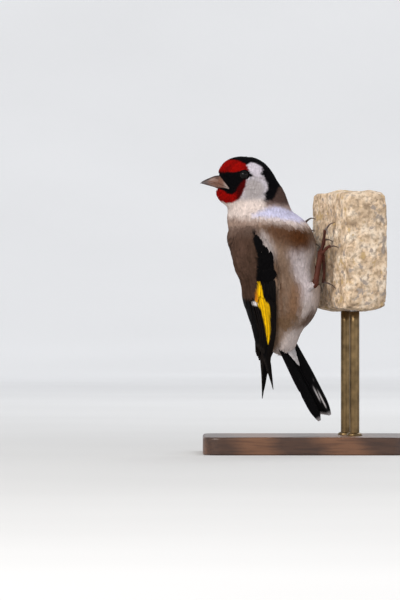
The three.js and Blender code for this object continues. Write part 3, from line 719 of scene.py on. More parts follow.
def lay_feathers(name, roots, normals, lie, length, width, lift, curve, colour_at, ragged=0.16):
    """One joined mesh of feathers on the given roots. Lengths, widths and lifts are arrays."""
    shapes = feather_shapes(FORMS, ragged)
    local = shapes[RANDOM.integers(0, len(shapes), len(roots))].reshape(len(roots), -1, 3)
    along = unit(lie - (lie * normals).sum(1, keepdims=True) * normals)
    along = unit(along + np.cross(normals, along) * RANDOM.normal(0, TURN_SPREAD, (len(roots), 1)))
    across = np.cross(normals, along)
    s, w, arch = local[:, :, 0], local[:, :, 1], local[:, :, 2]
    rise = -ROOT_SUNK + (lift[:, None] + ROOT_SUNK) * s ** 0.8
    rise = rise - (s * length[:, None]) ** 2 / (2 * curve[:, None])
    rise = rise + ARCH * width[:, None] * (arch - 1)
    verts = roots[:, None] + along[:, None] * (s * length[:, None])[..., None]
    verts = verts + across[:, None] * (w * width[:, None] / 2)[..., None]
    verts = verts + normals[:, None] * rise[..., None]
    count, per = len(roots), verts.shape[1]
    faces = (FEATHER_FACES[None] + (np.arange(count) * per)[:, None, None]).reshape(-1, 3)
    whole = colour_at(roots + along * (length * 0.6)[:, None])
    here = colour_at(verts.reshape(-1, 3)).reshape(verts.shape)
    shade = RANDOM.normal(1, SHADE_SPREAD, (count, 1, 1)) * mix(*SHAFT_SHADE, ramp(0.1, 0.8, s))[..., None]
    tint = np.clip(mix(whole[:, None], here, COLOUR_HERE) * shade, 0, 1)
    spots = unwrap(roots)[:, None] + beside(s, w) * SPOT_SIZE
    tilt = RANDOM.normal(0, TILT_SPREAD, (2, count, 1, 1))
    facing = normals[:, None] + across[:, None] * (CUPPED * w[..., None] + tilt[0])
    facing = unit(facing + along[:, None] * tilt[1])
    piece(name, verts.reshape(-1, 3), faces, COAT, tint=tint.reshape(-1, 3),
          spots=spots.reshape(-1, 2), facing=facing.reshape(-1, 3))


def scatter(surface, spacing, ring=True):
    """Roots picked over a grid surface so that no two are closer than the spacing there."""
    columns = surface.shape[1]
    a, b = surface[:-1], surface[1:]
    right = np.roll(a, -1, 1)
    area = size_of(np.cross(right - a, b - a))
    if not ring:
        area[:, -1] = 0
    middle = (a + b + right + np.roll(b, -1, 1)) / 4
    wanted = area / spacing(middle.reshape(-1, 3)).reshape(area.shape) ** 2 * TRIES
    counts = RANDOM.poisson(wanted)
    i, j = np.nonzero(counts)
    repeat = counts[i, j]
    i, j = np.repeat(i, repeat), np.repeat(j, repeat)
    u, v = RANDOM.random((2, len(i), 1))
    k = (j + 1) % columns
    points = mix(mix(surface[i, j], surface[i, k], u), mix(surface[i + 1, j], surface[i + 1, k], u), v)
    order = RANDOM.permutation(len(points))
    points = points[order]
    gaps = spacing(points)
    cell = float(gaps.max())
    kept, buckets = [], {}
    steps = [(i, j, k) for i in (-1, 0, 1) for j in (-1, 0, 1) for k in (-1, 0, 1)]
    for index, (point, gap) in enumerate(zip(points.tolist(), gaps.tolist())):
        x, y, z = (int(value // cell) for value in point)
        near = (other for i, j, k in steps for other in buckets.get((x + i, y + j, z + k), ()))
        if all(math.dist(point, other) >= gap for other in near):
            buckets.setdefault((x, y, z), []).append(point)
            kept.append(index)
    return points[kept]


# Folded wings: height runs from the bend to the tip, and a turn lies between the back and the leading edge

WING_TOP = 101.5
WINGS = {
    "right": {"side": 1, "tip": 28.0, "tip_turn": 150.0, "droop": 2.0},
    "left": {"side": -1, "tip": 24.0, "tip_turn": 65.0, "droop": -4.0},
}


def wing_z(wing, u):
    return mix(WING_TOP, wing["tip"], u)


def wing_turn(wing, u, v):
    leading = mix(85 + 32 * u * (1 - u) + wing["droop"], wing["tip_turn"], u ** 5)
    trailing = mix(mix(46, 18, np.minimum(1, u * 4)), wing["tip_turn"] - 40,
                   np.maximum(0, u - 0.35) ** 2 / 0.4225)
    return mix(trailing, leading, v)


EYE_X, EYE_Z, EYE_RADIUS, EYE_SUNK = -27.5, 124.9, 2.45, 1.25
EYE_BARE = 2.35
BILL_TIP = vec(-47.2, HEAD_MIDDLE, 121.4)
BILL_BASE = vec(-39.2, HEAD_MIDDLE, 121.6)
BARE_BILL = [(-44, 119), (-39.6, 118.9), (-34.1, 118.4), (-33.9, 119.2), (-36.2, 123.2), (-38.2, 125.6),
             (-44, 125.6)]


def eye_seats():
    seats = {}
    for name, side in (("eye_left", -1), ("eye_right", 1)):
        skin = reach(body_depth, vec(EYE_X, HEAD_MIDDLE, EYE_Z)[None], vec(0, side, 0)[None])[0]
        seats[name] = (skin, skin - vec(0, side * EYE_SUNK, 0), side)
    return seats


EYES = eye_seats()

# Sizes of the coat's feathers on the body, the head and the face
COAT_SPACING = 0.84, 0.54, 0.42
COAT_LENGTH = 5.4, 2.6, 1.35
COAT_WIDTH = 1.9, 1.15, 0.75
COAT_LIFT = 0.34, 0.26, 0.2
COAT_CURVE = 19.0, 13.0, 10.0
COAT_END = 46
COAT_PIECES = {"coat_head": 118, "coat_throat": 109, "coat_neck": 96, "coat_breast": 76, "coat_belly": 0}


def headness(points):
    return ramp(103, 114, points[:, 2])


def faceness(points):
    return ramp(24, 10, size_of(points - BILL_BASE))


def by_region(sizes, points):
    on_body, on_head, on_face = sizes
    return mix(mix(on_body, on_head, headness(points)), on_face, faceness(points))


def under_wing(points):
    turn, z = turn_of(points), points[:, 2]
    return (z < 97) & (turn > 24) & (turn < wing_front(z) - 4) & (z > 50)


def make_coat():
    """The coat in pieces from the head down, each from its lowest height up to the one before."""
    roots = scatter(ring_surface(0.0, 190, 170), lambda points: by_region(COAT_SPACING, points))
    eye_gap = np.min([size_of(roots - seat[0]) for seat in EYES.values()], axis=0)
    on_bill = inside_shape(roots[:, 0], roots[:, 2], BARE_BILL) > 0
    keep = (eye_gap > EYE_BARE) & ~under_wing(roots) & ~on_bill & (roots[:, 2] > COAT_END)
    roots, eye_gap = roots[keep], eye_gap[keep]
    normals = normals_of(body_depth, roots)
    lie = unit(mix(-LEAN_UP[None], unit(roots - BILL_BASE), ramp(108, 119, roots[:, 2])[:, None]))
    count = len(roots)
    length = by_region(COAT_LENGTH, roots) * RANDOM.uniform(0.8, 1.2, count)
    length = np.minimum(length, 0.8 + (eye_gap - EYE_BARE) * 1.5)
    width = by_region(COAT_WIDTH, roots) * RANDOM.uniform(0.8, 1.2, count)
    lift = by_region(COAT_LIFT, roots) * RANDOM.uniform(0.6, 1.4, count)
    curve = by_region(COAT_CURVE, roots)
    left = np.ones(count, bool)
    for name, lowest in COAT_PIECES.items():
        pick = left & (roots[:, 2] > lowest)
        left &= ~pick
        lay_feathers(name, roots[pick], normals[pick], lie[pick], length[pick], width[pick], lift[pick],
                     curve[pick], coat_colour)


make_coat()


# Wing and tail feathers: a curved vane along a shaft, split and worn in places

BARB_TURNS = 62
BARB_SLANT = 9
VANE_THICKNESS = 0.1
SPLITS = 2
WING_VANE_STEPS, WING_VANE_COLUMNS = 36, 9


def closed_vane_faces(rows, columns):
    top = grid_faces(rows, columns)
    count = rows * columns
    bottom = top[:, ::-1] + count
    rim = [(i * columns, (i + 1) * columns) for i in range(rows - 1)]
    rim += [((rows - 1) * columns + j, (rows - 1) * columns + j + 1) for j in range(columns - 1)]
    rim += [(i * columns + columns - 1, (i - 1) * columns + columns - 1) for i in range(rows - 1, 0, -1)]
    rim += [(j, j - 1) for j in range(columns - 1, 0, -1)]
    sides = np.array([(a, a + count, b + count, b) for a, b in rim])[:, ::-1]
    return np.concatenate([top, bottom, sides])


def fine_vane(place, half_width, steps, columns):
    """A closed vane. place(t, w) gives the surface and its normal at t along and w across. With the mesh
    come t, w and the place in the row of barbs at each of its corners."""
    t, w = [v.ravel() for v in grid(np.linspace(0, 1, steps), np.linspace(-1, 1, columns))]
    wide = half_width(t)
    for _ in range(SPLITS):
        where, side = RANDOM.uniform(0.5, 0.97), RANDOM.choice([-1, 1])
        wide = wide * (1 - 0.16 * bell(t - where, 0.02) * (w * side > 0))
    points, normals = place(t, w * wide)
    ridge = 0.12 * bell(w, 0.14) * (1 - t)
    top = points + normals * (VANE_THICKNESS / 2 + ridge)[:, None]
    bottom = points - normals * (VANE_THICKNESS / 2)
    barbs = t * BARB_TURNS * math.tau - np.abs(w) * BARB_SLANT
    both = [np.tile(values, 2) for values in (t, w, barbs)]
    return np.concatenate([top, bottom]), closed_vane_faces(steps, columns), *both


class VaneSet:
    """Vanes that are joined to one piece."""

    def __init__(self):
        self.shapes, self.tints, self.barbs = [], [], []

    def add(self, verts, faces, barbs, tint):
        self.shapes.append((verts, faces))
        self.tints.append(tint)
        self.barbs.append(barbs)

    def make(self, name, node, spots_of):
        verts, faces = merge_shapes(self.shapes)
        piece(name, verts, faces, VANES, (node,), tint=np.concatenate(self.tints),
              spots=spots_of(verts), barbs=np.concatenate(self.barbs))


def wing_vane(wing, root, tip, width, low, high, bluntness):
    def place(t, across):
        z = wing_z(wing, mix(root[0], tip[0], t))
        turn = wing_turn(wing, mix(root[0], tip[0], t), mix(root[1], tip[1], t ** 0.8))
        level = mix(low, high, np.minimum(1, t * 1.6))
        radius = size_of(wing_point(wing["side"], z, turn, low) - spine_at(z))
        level = level + 0.275 * across - 0.06 * across ** 2
        points = wing_point(wing["side"], z, turn + np.degrees(across * width / 2 / radius), level)
        return points, normals_of(wing_depth, points)

    def half_width(t):
        swell = np.minimum(1, 0.6 + 1.2 * t)
        return swell * (1 - (1 - bluntness) * np.maximum(0, (t - 0.62) / 0.38) ** 1.8)

    return fine_vane(place, half_width, WING_VANE_STEPS, WING_VANE_COLUMNS)


VANE_ROWS = [
    ("primary", 9, [(0.24, 0.92), (0.3, 0.6)], [(0.995, 0.86), (0.82, 0.62)], (3.2, 4.4), 0.8, 1.0, 0.08),
    ("secondary", 6, [(0.3, 0.64), (0.32, 0.3)], [(0.77, 0.5), (0.73, 0.2)], (5, 5.6), 0.9, 1.3, 0.25),
    ("tertial", 3, [(0.3, 0.34), (0.28, 0.16)], [(0.68, 0.22), (0.5, 0.12)], (5.8, 6.2), 1.2, 1.7, 0.3),
    ("greater", 9, [(0.22, 0.9), (0.22, 0.16)], [(0.44, 0.88), (0.41, 0.16)], (3.8, 4.2), 1.1, 1.6, 0.35),
    ("edge", 4, [(0.16, 0.97), (0.18, 0.84)], [(0.46, 0.96), (0.42, 0.86)], (2.6, 3), 1.1, 1.7, 0.3),
    ("median", 8, [(0.12, 0.86), (0.12, 0.2)], [(0.29, 0.86), (0.28, 0.2)], (3.8, 4.2), 1.4, 2.0, 0.4),
    ("alula", 2, [(0.1, 0.96), (0.14, 0.93)], [(0.3, 0.97), (0.38, 0.94)], (2.4, 2.8), 1.2, 1.9, 0.25),
]
WING_MAP = 20, 105


def make_wing(name, wing):
    vanes = VaneSet()
    for row, count, roots, tips, widths, low, high, blunt in VANE_ROWS:
        for i in range(count):
            t = i / (count - 1)
            root = [mix(a, b, t) for a, b in zip(*roots)]
            tip = [mix(a, b, t) + RANDOM.uniform(-0.004, 0.004) for a, b in zip(*tips)]
            verts, faces, along, across, barbs = wing_vane(wing, root, tip, mix(*widths, t), low,
                                                           high + 0.012 * i, blunt)
            paint = Paint(wing_colour(verts), len(verts))
            if row in ("primary", "secondary"):
                paint.lay(QUILL_END, 0.4 * ramp(0.93, 1.0, along))
            paint.lay(QUILL_RIM, 0.4 * ramp(0.82, 0.98, np.abs(across)))
            vanes.add(verts, faces, barbs, paint.colour * mix(0.85, 1.1, RANDOM.random()))
    vanes.make(f"feathers_wing_{name}", f"wing_{name}",
               lambda verts: unwrap(verts, *WING_MAP))


for wing_name, wing_form in WINGS.items():
    make_wing(wing_name, wing_form)


def shoulder_level(z, turn):
    """How far the small feathers stand over the flank where they cover a wing, and beside it."""
    front = wing_front(z)
    trail = mix(46, 18, np.clip((WING_TOP - z) / (WING_TOP - WINGS["right"]["tip"]) * 4, 0, 1))
    over = ramp(trail - 6, trail + 14, turn) * ramp(104.5, 98, z) * (1 - ramp(front - 4, front + 9, turn))
    level = np.maximum(mix(1.6, 2.3, ramp(66, 80, z)) * over, fullness(z, turn))
    return 0.1 + level - 0.8 * ramp(101.5, 104.5, z)


def make_shoulder(name, wing):
    """Small feathers over a folded wing: brown towards the back, black in its panel, and the pale
    ones of the flank that lie over its front edge."""
    rows = 110
    z, turn = np.meshgrid(np.linspace(104.5, 50, rows), np.linspace(0, 116, rows), indexing="ij")
    z, turn = z.ravel(), turn.ravel()
    sheet = wing_point(wing["side"], z, turn, shoulder_level(z, turn)).reshape(rows, rows, 3)
    if wing["side"] < 0:
        sheet = sheet[:, ::-1]
    roots = scatter(sheet, lambda p: np.full(len(p), 0.95), ring=False)
    turns, height = turn_of(roots), roots[:, 2]
    front = wing_front(height)
    back = np.interp(height, *PANEL_BACK)
    flank = turns > front - 1.5
    brown = ~flank & (turns < back) & (height > WING_BROWN_END + 4)
    black = ~flank & (turns >= back) & (height > 80)
    keep = (flank & (turns < front + 12) & (height > 78)) | brown | black
    roots, flank, brown = roots[keep], flank[keep], brown[keep]
    normals = normals_of(wing_depth, roots)
    count = len(roots)

    def shoulder_colour(points):
        over_flank = np.repeat(flank, len(points) // len(flank))
        return np.where(over_flank[:, None], coat_colour(points), wing_colour(points))

    lie = np.where(flank[:, None], -LEAN_UP - 0.16 * VENTRAL, -LEAN_UP + 0.1 * VENTRAL)
    length = np.select([flank, brown], [5.6, 5.4], 3.6) * RANDOM.uniform(0.8, 1.15, count)
    width = np.select([flank, brown], [1.8, 2.5], 2.2) * RANDOM.uniform(0.85, 1.15, count)
    lay_feathers(f"coat_shoulder_{name}", roots, normals, lie, length, width,
                 RANDOM.uniform(0.2, 0.5, count), np.full(count, 24.0), shoulder_colour,
                 ragged=0.12)


for wing_name, wing_form in WINGS.items():
    make_shoulder(wing_name, wing_form)


# Tail: six quills a side, twisted so that its underside turns to the right

TAIL_ROOT, TAIL_TIP = vec(-11.8, 0, 53), vec(7.9, 1, 15)
TAIL_TWIST = math.radians(47)
TAIL_HALF, TAIL_ROOT_HALF, TAIL_FORK = 6.4, 4.4, 3.2
QUILL_WIDTH, QUILL_STEP = 5.6, 0.34
TAIL_DOWN = unit(TAIL_TIP - TAIL_ROOT)
ACROSS_LEVEL = unit(np.cross(vec(0, -1, 0), TAIL_DOWN))
TAIL_SIDE = vec(0, -math.cos(TAIL_TWIST), 0) - ACROSS_LEVEL * math.sin(TAIL_TWIST)
TAIL_UNDER = unit(np.cross(TAIL_SIDE, TAIL_DOWN))


def tail_vane(start, length, from_side, to_side, width, rise, risen, bluntness, steps=40, columns=9):
    def place(t, across):
        along = mix(start, length, t)
        side = mix(from_side, to_side, t) + across * width / 2
        over = mix(rise, risen, np.minimum(1, 2 * t)) - 0.14 * across ** 2
        points = TAIL_ROOT + TAIL_DOWN * along[:, None] + TAIL_SIDE * side[:, None]
        return points + TAIL_UNDER * over[:, None], np.repeat(TAIL_UNDER[None], len(t), 0)

    def half_width(t):
        return np.minimum(1, 0.55 + 0.9 * t) * (1 - (1 - bluntness) * np.maximum(0, (t - 0.8) / 0.2) ** 2.2)

    return fine_vane(place, half_width, steps, columns)


# Under and upper coverts: which face, how far down they come, how many, and how far they spread
TAIL_COVERTS = [(1, 16.5, 7, 1.7), (-1, 13, 7, 3.0)]
QUILLS = 6


def tail_marks(t, inner):
    """White lines on the outermost quill's underside, at t along and inner towards the tail's middle."""
    first = ramp(0.56, 0.62, t) * ramp(0.93, 0.88, t) * ramp(0.11, 0.05, np.abs(inner + 0.45 - 0.5 * t))
    second = ramp(0.62, 0.66, t) * ramp(0.84, 0.78, t) * ramp(0.09, 0.04, np.abs(inner - 0.1 - 0.5 * t))
    return first + 0.7 * second


def tail_spots(verts):
    from_root = verts - TAIL_ROOT
    spots = beside(from_root @ TAIL_SIDE / 50 + 0.25, from_root @ TAIL_DOWN / 50 + 0.05)
    spots[:, 0] += 0.5 * (from_root @ TAIL_UNDER > 1)
    return on_map(spots)


def make_tail():
    full = size_of(TAIL_TIP - TAIL_ROOT)
    vanes = VaneSet()
    for side in (-1, 1):
        for i in range(QUILLS):
            place = (i + 0.5) / QUILLS
            over = QUILL_STEP * (i + 0.5)
            verts, faces, t, w, barbs = tail_vane(
                0, full - TAIL_FORK * (1 - place), side * place * TAIL_ROOT_HALF,
                side * place * (TAIL_HALF - QUILL_WIDTH / 2 + 0.4), QUILL_WIDTH, over, over, 0.3)
            white = ramp(0.965, 0.99, t) * 0.85
            if side < 0 and i == QUILLS - 1:
                white = white + tail_marks(t, -side * w)
            paint = Paint(WING_BLACK, len(t))
            paint.lay(WHITE, white)
            vanes.add(verts, faces, barbs, paint.colour)
    for face, reach_down, count, spread in TAIL_COVERTS:
        for i in range(count):
            place = 2 * i / (count - 1) - 1
            over = QUILL_STEP * 5 + 0.3 if face > 0 else -0.3
            verts, faces, t, w, barbs = tail_vane(
                0.5 + 0.8 * abs(place), reach_down - 7 * abs(place), place * 2.4, place * spread, 2.2,
                over, over + face * (0.75 + 0.05 * (i % 2)), 0.08, steps=14, columns=7)
            # Painted shade: each covert's white is greyed by a random amount, for the shadow that lies under
            # the tail
            shade = mix(0.5, 0.8, RANDOM.random())
            vanes.add(verts, faces, barbs, Paint(WHITE * shade, len(t)).colour)
    vanes.make("feathers_tail", "tail", tail_spots)


make_tail()


# Bill: two horn sheaths along the mouth line, dark at the tip and along the ridge

BILL = tinted("bill_horn", 0.45, 500, 5, [(0.35, (0.82, 0.8, 0.8)), (0.65, (1.06, 1.04, 1.02))], (0.3, 0.06),
              (0.35, 1, 1), Specular_IOR_Level=0.25)
BILL_ROOT_X, BILL_GAPE_X, BILL_BROW_X, BILL_JAW_X, BILL_DIP_X = -36.2, -34.2, -38.3, -39.6, -41
BILL_WIDTH, BILL_DEPTH, BILL_CHIN, BILL_DROP, BILL_FLANGE = 3.5, 4.8, 3.1, 2.7, 0.25
MOUTH_GAP = 0.1
NOSTRIL = vec(-39.6, 2.2, 2.45)
NOSTRIL_FORM, NOSTRIL_RADIUS = vec(1.5, 1.2, 1), 0.4


def mouth_line(x):
    along = np.maximum(0, (x - BILL_DIP_X) / (BILL_GAPE_X - BILL_DIP_X))
    return BILL_TIP[2] + 0.1 - BILL_DROP * along ** 1.5


def bill_cone(x):
    return np.clip((x - BILL_TIP[0]) / (BILL_ROOT_X - BILL_TIP[0]), 0.012, 1)


def sheath_height(upper, x):
    hinge = BILL_BROW_X if upper else BILL_JAW_X
    front = np.minimum(x, hinge)
    full = BILL_DEPTH * bill_cone(front) ** 0.8 if upper else BILL_CHIN * bill_cone(front) ** 0.95
    return full * mix(1, 0.1, np.clip((x - hinge) / (BILL_GAPE_X - hinge), 0, 1))


def bill_colour(upper, verts, along):
    x = verts[:, 0]
    high = np.abs(verts[:, 2] - mouth_line(x)) / np.maximum(sheath_height(upper, x), 0.2)
    rough = roughness_of(verts, 0.9)
    paint = Paint(HORN, len(verts))
    paint.lay(HORN_PALE, 0.75 * ramp(-37.4, -35.4, x))
    paint.lay(HORN_PALE, 0.5 * ramp(0.3, 0.6, high) * ramp(0.95, 0.7, high) * ramp(0.2, 0.6, along))
    if upper:
        paint.lay(HORN_DARK, 0.85 * ramp(0.7, 0.97, high + 0.1 * rough) * ramp(0.05, 0.3, along))
    paint.lay(HORN_DARK, ramp(0.45, 0.95, along + 0.08 * rough) * 0.95)
    return paint


def make_bill(upper):
    steps, sides = 64, 41
    away = 1 if upper else -1
    turn = np.linspace(0, np.pi, sides)[None]
    x = mix(BILL_GAPE_X, BILL_TIP[0] + (-0.1 if upper else 0.3), np.linspace(0, 1, steps)[:, None])
    power = mix(1, 0.45, ramp(BILL_BROW_X - 1, BILL_BROW_X + 1, x))
    hook = 0.3 * ramp(BILL_TIP[0] + 1.2, BILL_TIP[0], x) if upper else 0
    level = mouth_line(x) + away * MOUTH_GAP / 2 - hook
    z = level + away * sheath_height(upper, x) * np.sin(turn) ** power
    x, z, power, turn, level = np.broadcast_arrays(x, z, power, turn, level)
    inside = beside(x, np.full_like(x, HEAD_MIDDLE), z).reshape(-1, 3)
    face = reach(body_depth, inside, vec(0, 1, 0)[None])[:, 1].reshape(x.shape) - HEAD_MIDDLE
    wide = np.maximum(BILL_WIDTH * bill_cone(x) ** 0.82, face + BILL_FLANGE)
    side = np.sign(np.cos(turn)) * np.abs(np.cos(turn)) ** power
    rings = beside(x, HEAD_MIDDLE + wide * side, z)
    floor = beside(x, HEAD_MIDDLE + wide * np.cos(np.pi - turn), level)[:, 1:-1]
    verts, faces = capped(np.concatenate([rings, floor], 1))
    along = np.clip((verts[:, 0] - BILL_ROOT_X) / (BILL_TIP[0] - BILL_ROOT_X), 0, 1)
    paint = bill_colour(upper, verts, along)
    # Painted shade: each nostril is pushed in as a small pit and darkened for the shade inside it
    for out in (-1, 1) if upper else ():
        pit = vec(NOSTRIL[0], HEAD_MIDDLE + out * NOSTRIL[1], BILL_TIP[2] + NOSTRIL[2])
        near = bell(size_of((verts - pit) / NOSTRIL_FORM), NOSTRIL_RADIUS)
        verts = verts - near[:, None] * vec(0, out * 0.35, 0.1)
        paint.lay(HORN_DARK * 0.4, near * 1.3)
    spots = beside(along, (verts[:, 1] - HEAD_MIDDLE) / 14 + 0.5)
    name = "bill_upper" if upper else "bill_lower"
    piece(f"horn_{name}", verts, split_quads(faces), BILL, (name,), tint=paint.colour,
          spots=np.clip(spots, 0, 1))


make_bill(True)
make_bill(False)


# Eyes with a dark brown ring round the pupil, a wet front and lids

EYE = tinted("eye_wet", 0.1, 2500, 3, [(0.3, grey(0.6)), (0.7, grey(1.2))], Specular_IOR_Level=0.17)
LID = grained("lid_skin", 0.8, 1800, 4, [(0.3, grey(0.002)), (0.7, (0.005, 0.004, 0.004))], (0.5, 0.08),
              Specular_IOR_Level=0.02)
BALL_STEPS, BALL_SIDES = 40, 48
LID_STEPS, LID_SIDES = 72, 14
LID_THICKNESS = 0.32


def make_eye(name, skin, centre, side):
    polar, turn = grid(np.linspace(0, np.pi, BALL_STEPS), round_circle(BALL_SIDES))
    bulge = EYE_RADIUS * (1 + 0.05 * bell(polar, 0.5))
    ball = beside(bulge * np.sin(polar) * np.cos(turn), side * bulge * np.cos(polar),
                  bulge * np.sin(polar) * np.sin(turn))
    verts, faces = capped(ball[1:-1] + centre)
    away = np.arccos(np.clip(unit(verts - centre)[:, 1] * side, -1, 1))
    paint = Paint(PUPIL, len(verts))
    paint.lay(IRIS, ramp(0.38, 0.44, away))
    paint.lay(EYE_RIM, ramp(0.62, 0.8, away))
    piece(f"{name}_ball", verts, split_quads(faces), EYE, (name,), tint=paint.colour,
          spots=(verts - centre)[:, [0, 2]] / 6 + 0.5)
    around, tube = grid(round_circle(LID_STEPS), round_circle(LID_SIDES))
    thick = LID_THICKNESS * (1 + 0.16 * np.sin(around * 13 + 1.3 * np.sin(around * 5)))
    ring = EYE_RADIUS * 0.88 + thick * np.cos(tube)
    pinch = 1 - 0.1 * np.sin(around) ** 2
    lid = beside(ring * np.cos(around) * 1.04, side * (thick * np.sin(tube) - 0.05),
                 ring * np.sin(around) * pinch)
    lid = (lid + skin).reshape(-1, 3)
    faces = grid_faces(LID_STEPS + 1, LID_SIDES, closed=True) % (LID_STEPS * LID_SIDES)
    piece(f"{name}_lids", lid, faces, LID, spots=(lid - skin)[:, [0, 2]] / 8 + 0.5)


for eye_name, (eye_skin, eye_centre, eye_side) in EYES.items():
    make_eye(eye_name, eye_skin, eye_centre, eye_side)


# Legs: scaly shank and toes, horn claws

LEG = layered("leg_skin", 0.6, {"scale": 260}, [(0.3, linear(64, 26, 16)), (0.7, linear(108, 56, 40))],
              {"scale": 1300, "kind": "Voronoi"}, [(0.25, (1, 1, 1)), (0.7, (0.55, 0.5, 0.48))], (0.5, 0.1),
              Specular_IOR_Level=0.2)
CLAW = grained("claw_horn", 0.3, 700, 4, [(0.3, linear(44, 32, 28)), (0.7, linear(96, 74, 64))], (0.3, 0.05),
               Coat_Weight=0.3, Coat_Roughness=0.2)
SHANK_RADIUS = 1.2
TOE_RADIUS = 0.7
HUB_RADIUS = 1.05
HIND_SHIFT = vec(0.9, 0.4, -1)
TOE_SPREAD = {"inner": 1.9, "middle": 0, "outer": -1.9, "hind": 0}
ACROSS = vec(-0.3, 0.95, 0.1)
LEGS = {
    "right": {
        "heel": vec(4.3, -11.2, 76), "fork": vec(7, -9.4, 90), "thigh": vec(-3, -9, 72),
        "toes": {
            "inner": (vec(8.3, -6.3, 94), vec(8.6, -5.6, 95.9), vec(12.6, -5.2, 95)),
            "middle": (vec(8.3, -9, 96), vec(8.7, -8.8, 99.9), vec(13.6, -8.2, 103.7)),
            "outer": (vec(9.6, -11.4, 92.2), vec(10.9, -11.6, 92.9), vec(15, -11.3, 92.2)),
            "hind": (vec(8.4, -8.6, 82), vec(8.1, -8.5, 77), vec(14, -8.2, 73.8)),
        },
    },
    "left": {
        "heel": vec(4.2, 10.6, 81), "fork": vec(1.4, 12.2, 95.5), "thigh": vec(-3, 8, 75),
        "toes": {
            "inner": (vec(3.2, 10.8, 95.2), vec(4, 10.7, 94.6), vec(7, 10.4, 92.7)),
            "middle": (vec(0.6, 13.2, 101.5), vec(0.5, 13.9, 104.2), vec(5.5, 15, 105.3)),
            "outer": (vec(1.2, 15.3, 97.8), vec(1.6, 16.5, 99.2), vec(4.9, 17.4, 100)),
            "hind": (vec(2.6, 13.6, 89), vec(2.6, 14, 84.6), vec(6.3, 14.2, 81.5)),
        },
    },
}


def smooth_path(stops, count):
    """Points on a curve through the stops."""
    stops = np.array(stops)
    knots = np.concatenate([[0], np.cumsum(size_of(np.diff(stops, axis=0)) ** 0.5)])
    padded = np.concatenate([[2 * stops[0] - stops[1]], stops, [2 * stops[-1] - stops[-2]]])
    out = []
    for value in np.linspace(0, knots[-1] - 1e-9, count):
        i = int(np.searchsorted(knots, value, side="right") - 1)
        t = (value - knots[i]) / (knots[i + 1] - knots[i])
        a, b, c, d = padded[i:i + 4]
        out.append(0.5 * (2 * b + (c - a) * t + (2 * a - 5 * b + 4 * c - d) * t ** 2
                          + (3 * b - a - 3 * c + d) * t ** 3))
    return np.array(out)


def limb(stops, radius_at, steps, sides=18, flat=1.0, crease=None):
    """A closed tube along a curve, with its radius from how far along it a place lies."""
    path = smooth_path(stops, steps)
    tangent = unit(np.gradient(path, axis=0))
    normal = unit(np.cross(tangent, vec(0.2, 0.1, 1) + 0 * tangent) + vec(0, 1e-6, 0))
    for i in range(1, steps):
        normal[i] = unit(normal[i - 1] - tangent[i] * (normal[i - 1] @ tangent[i]))
    binormal = np.cross(tangent, normal)
    t = np.linspace(0, 1, steps)[:, None]
    turn = round_circle(sides)[None]
    radius = radius_at(t) * (1 + (crease(t, turn) if crease else 0))
    rings = (path[:, None] + normal[:, None] * (radius * np.cos(turn))[..., None]
             + binormal[:, None] * (radius * flat * np.sin(turn))[..., None])
    return capped(rings)


def scutes(rows, depth):
    def crease(t, turn):
        return depth * np.abs(np.sin(np.pi * rows * t + 0.3 * np.cos(turn))) ** 0.6 - depth / 2
    return crease


def toe_radius(t):
    pads = 0.13 * np.cos(2 * np.pi * 2.5 * t)
    return TOE_RADIUS * (1 + pads) * (1 - 0.12 * t)


def claw_radius(t):
    return 0.6 * (1 - t) ** 0.75 + 0.05


def bulb(radius, middle, swell, end):
    """A radius that swells at two places along a limb."""
    return lambda t: radius * (1 + swell * bell(t - middle, 0.1) + end * bell(1 - t, 0.1))


def box_spots(verts):
    low, high = verts.min(0), verts.max(0)
    scaled = (verts - low) / np.maximum(high - low, 1e-6)
    return np.stack([scaled[:, 0] * 0.5 + scaled[:, 1] * 0.49, scaled[:, 2]], -1)


def merged_piece(name, shapes, material, node):
    verts, faces = merge_shapes(shapes)
    piece(name, verts, faces, material, (node,), spots=box_spots(verts))


def make_leg(name, leg):
    heel, fork = leg["heel"], leg["fork"]
    shank = limb([mix(leg["thigh"], heel, 0.8), heel, mix(heel, fork, 0.5), fork],
                 bulb(SHANK_RADIUS, 0.25, 0.3, 0.25), 70, crease=scutes(17, 0.09))
    hub = limb([fork - ACROSS * 2, fork, fork + ACROSS * 2], lambda t: HUB_RADIUS + 0 * t, 16,
               crease=scutes(5, 0.08))
    merged_piece(f"skin_shank_{name}", [shank, hub], LEG, f"shank_{name}")
    for toe, (bend, knuckle, tip) in leg["toes"].items():
        root = fork + ACROSS * TOE_SPREAD[toe]
        if toe == "hind":
            root = root + HIND_SHIFT
        bone = limb([root, bend, knuckle, knuckle + unit(knuckle - bend) * 0.4], toe_radius, 60,
                    crease=scutes(11, 0.1))
        merged_piece(f"skin_toe_{toe}_{name}", [bone], LEG, f"toe_{toe}_{name}")
        middle = mix(knuckle, tip, 0.5)
        climb = abs(tip[0] - knuckle[0]) * 0.22
        middle[2] += climb if tip[2] > knuckle[2] else climb * 0.5
        claw = limb([knuckle, middle, tip], claw_radius, 26, 14, flat=0.8)
        merged_piece(f"horn_claw_{toe}_{name}", [claw], CLAW, f"claw_{toe}_{name}")


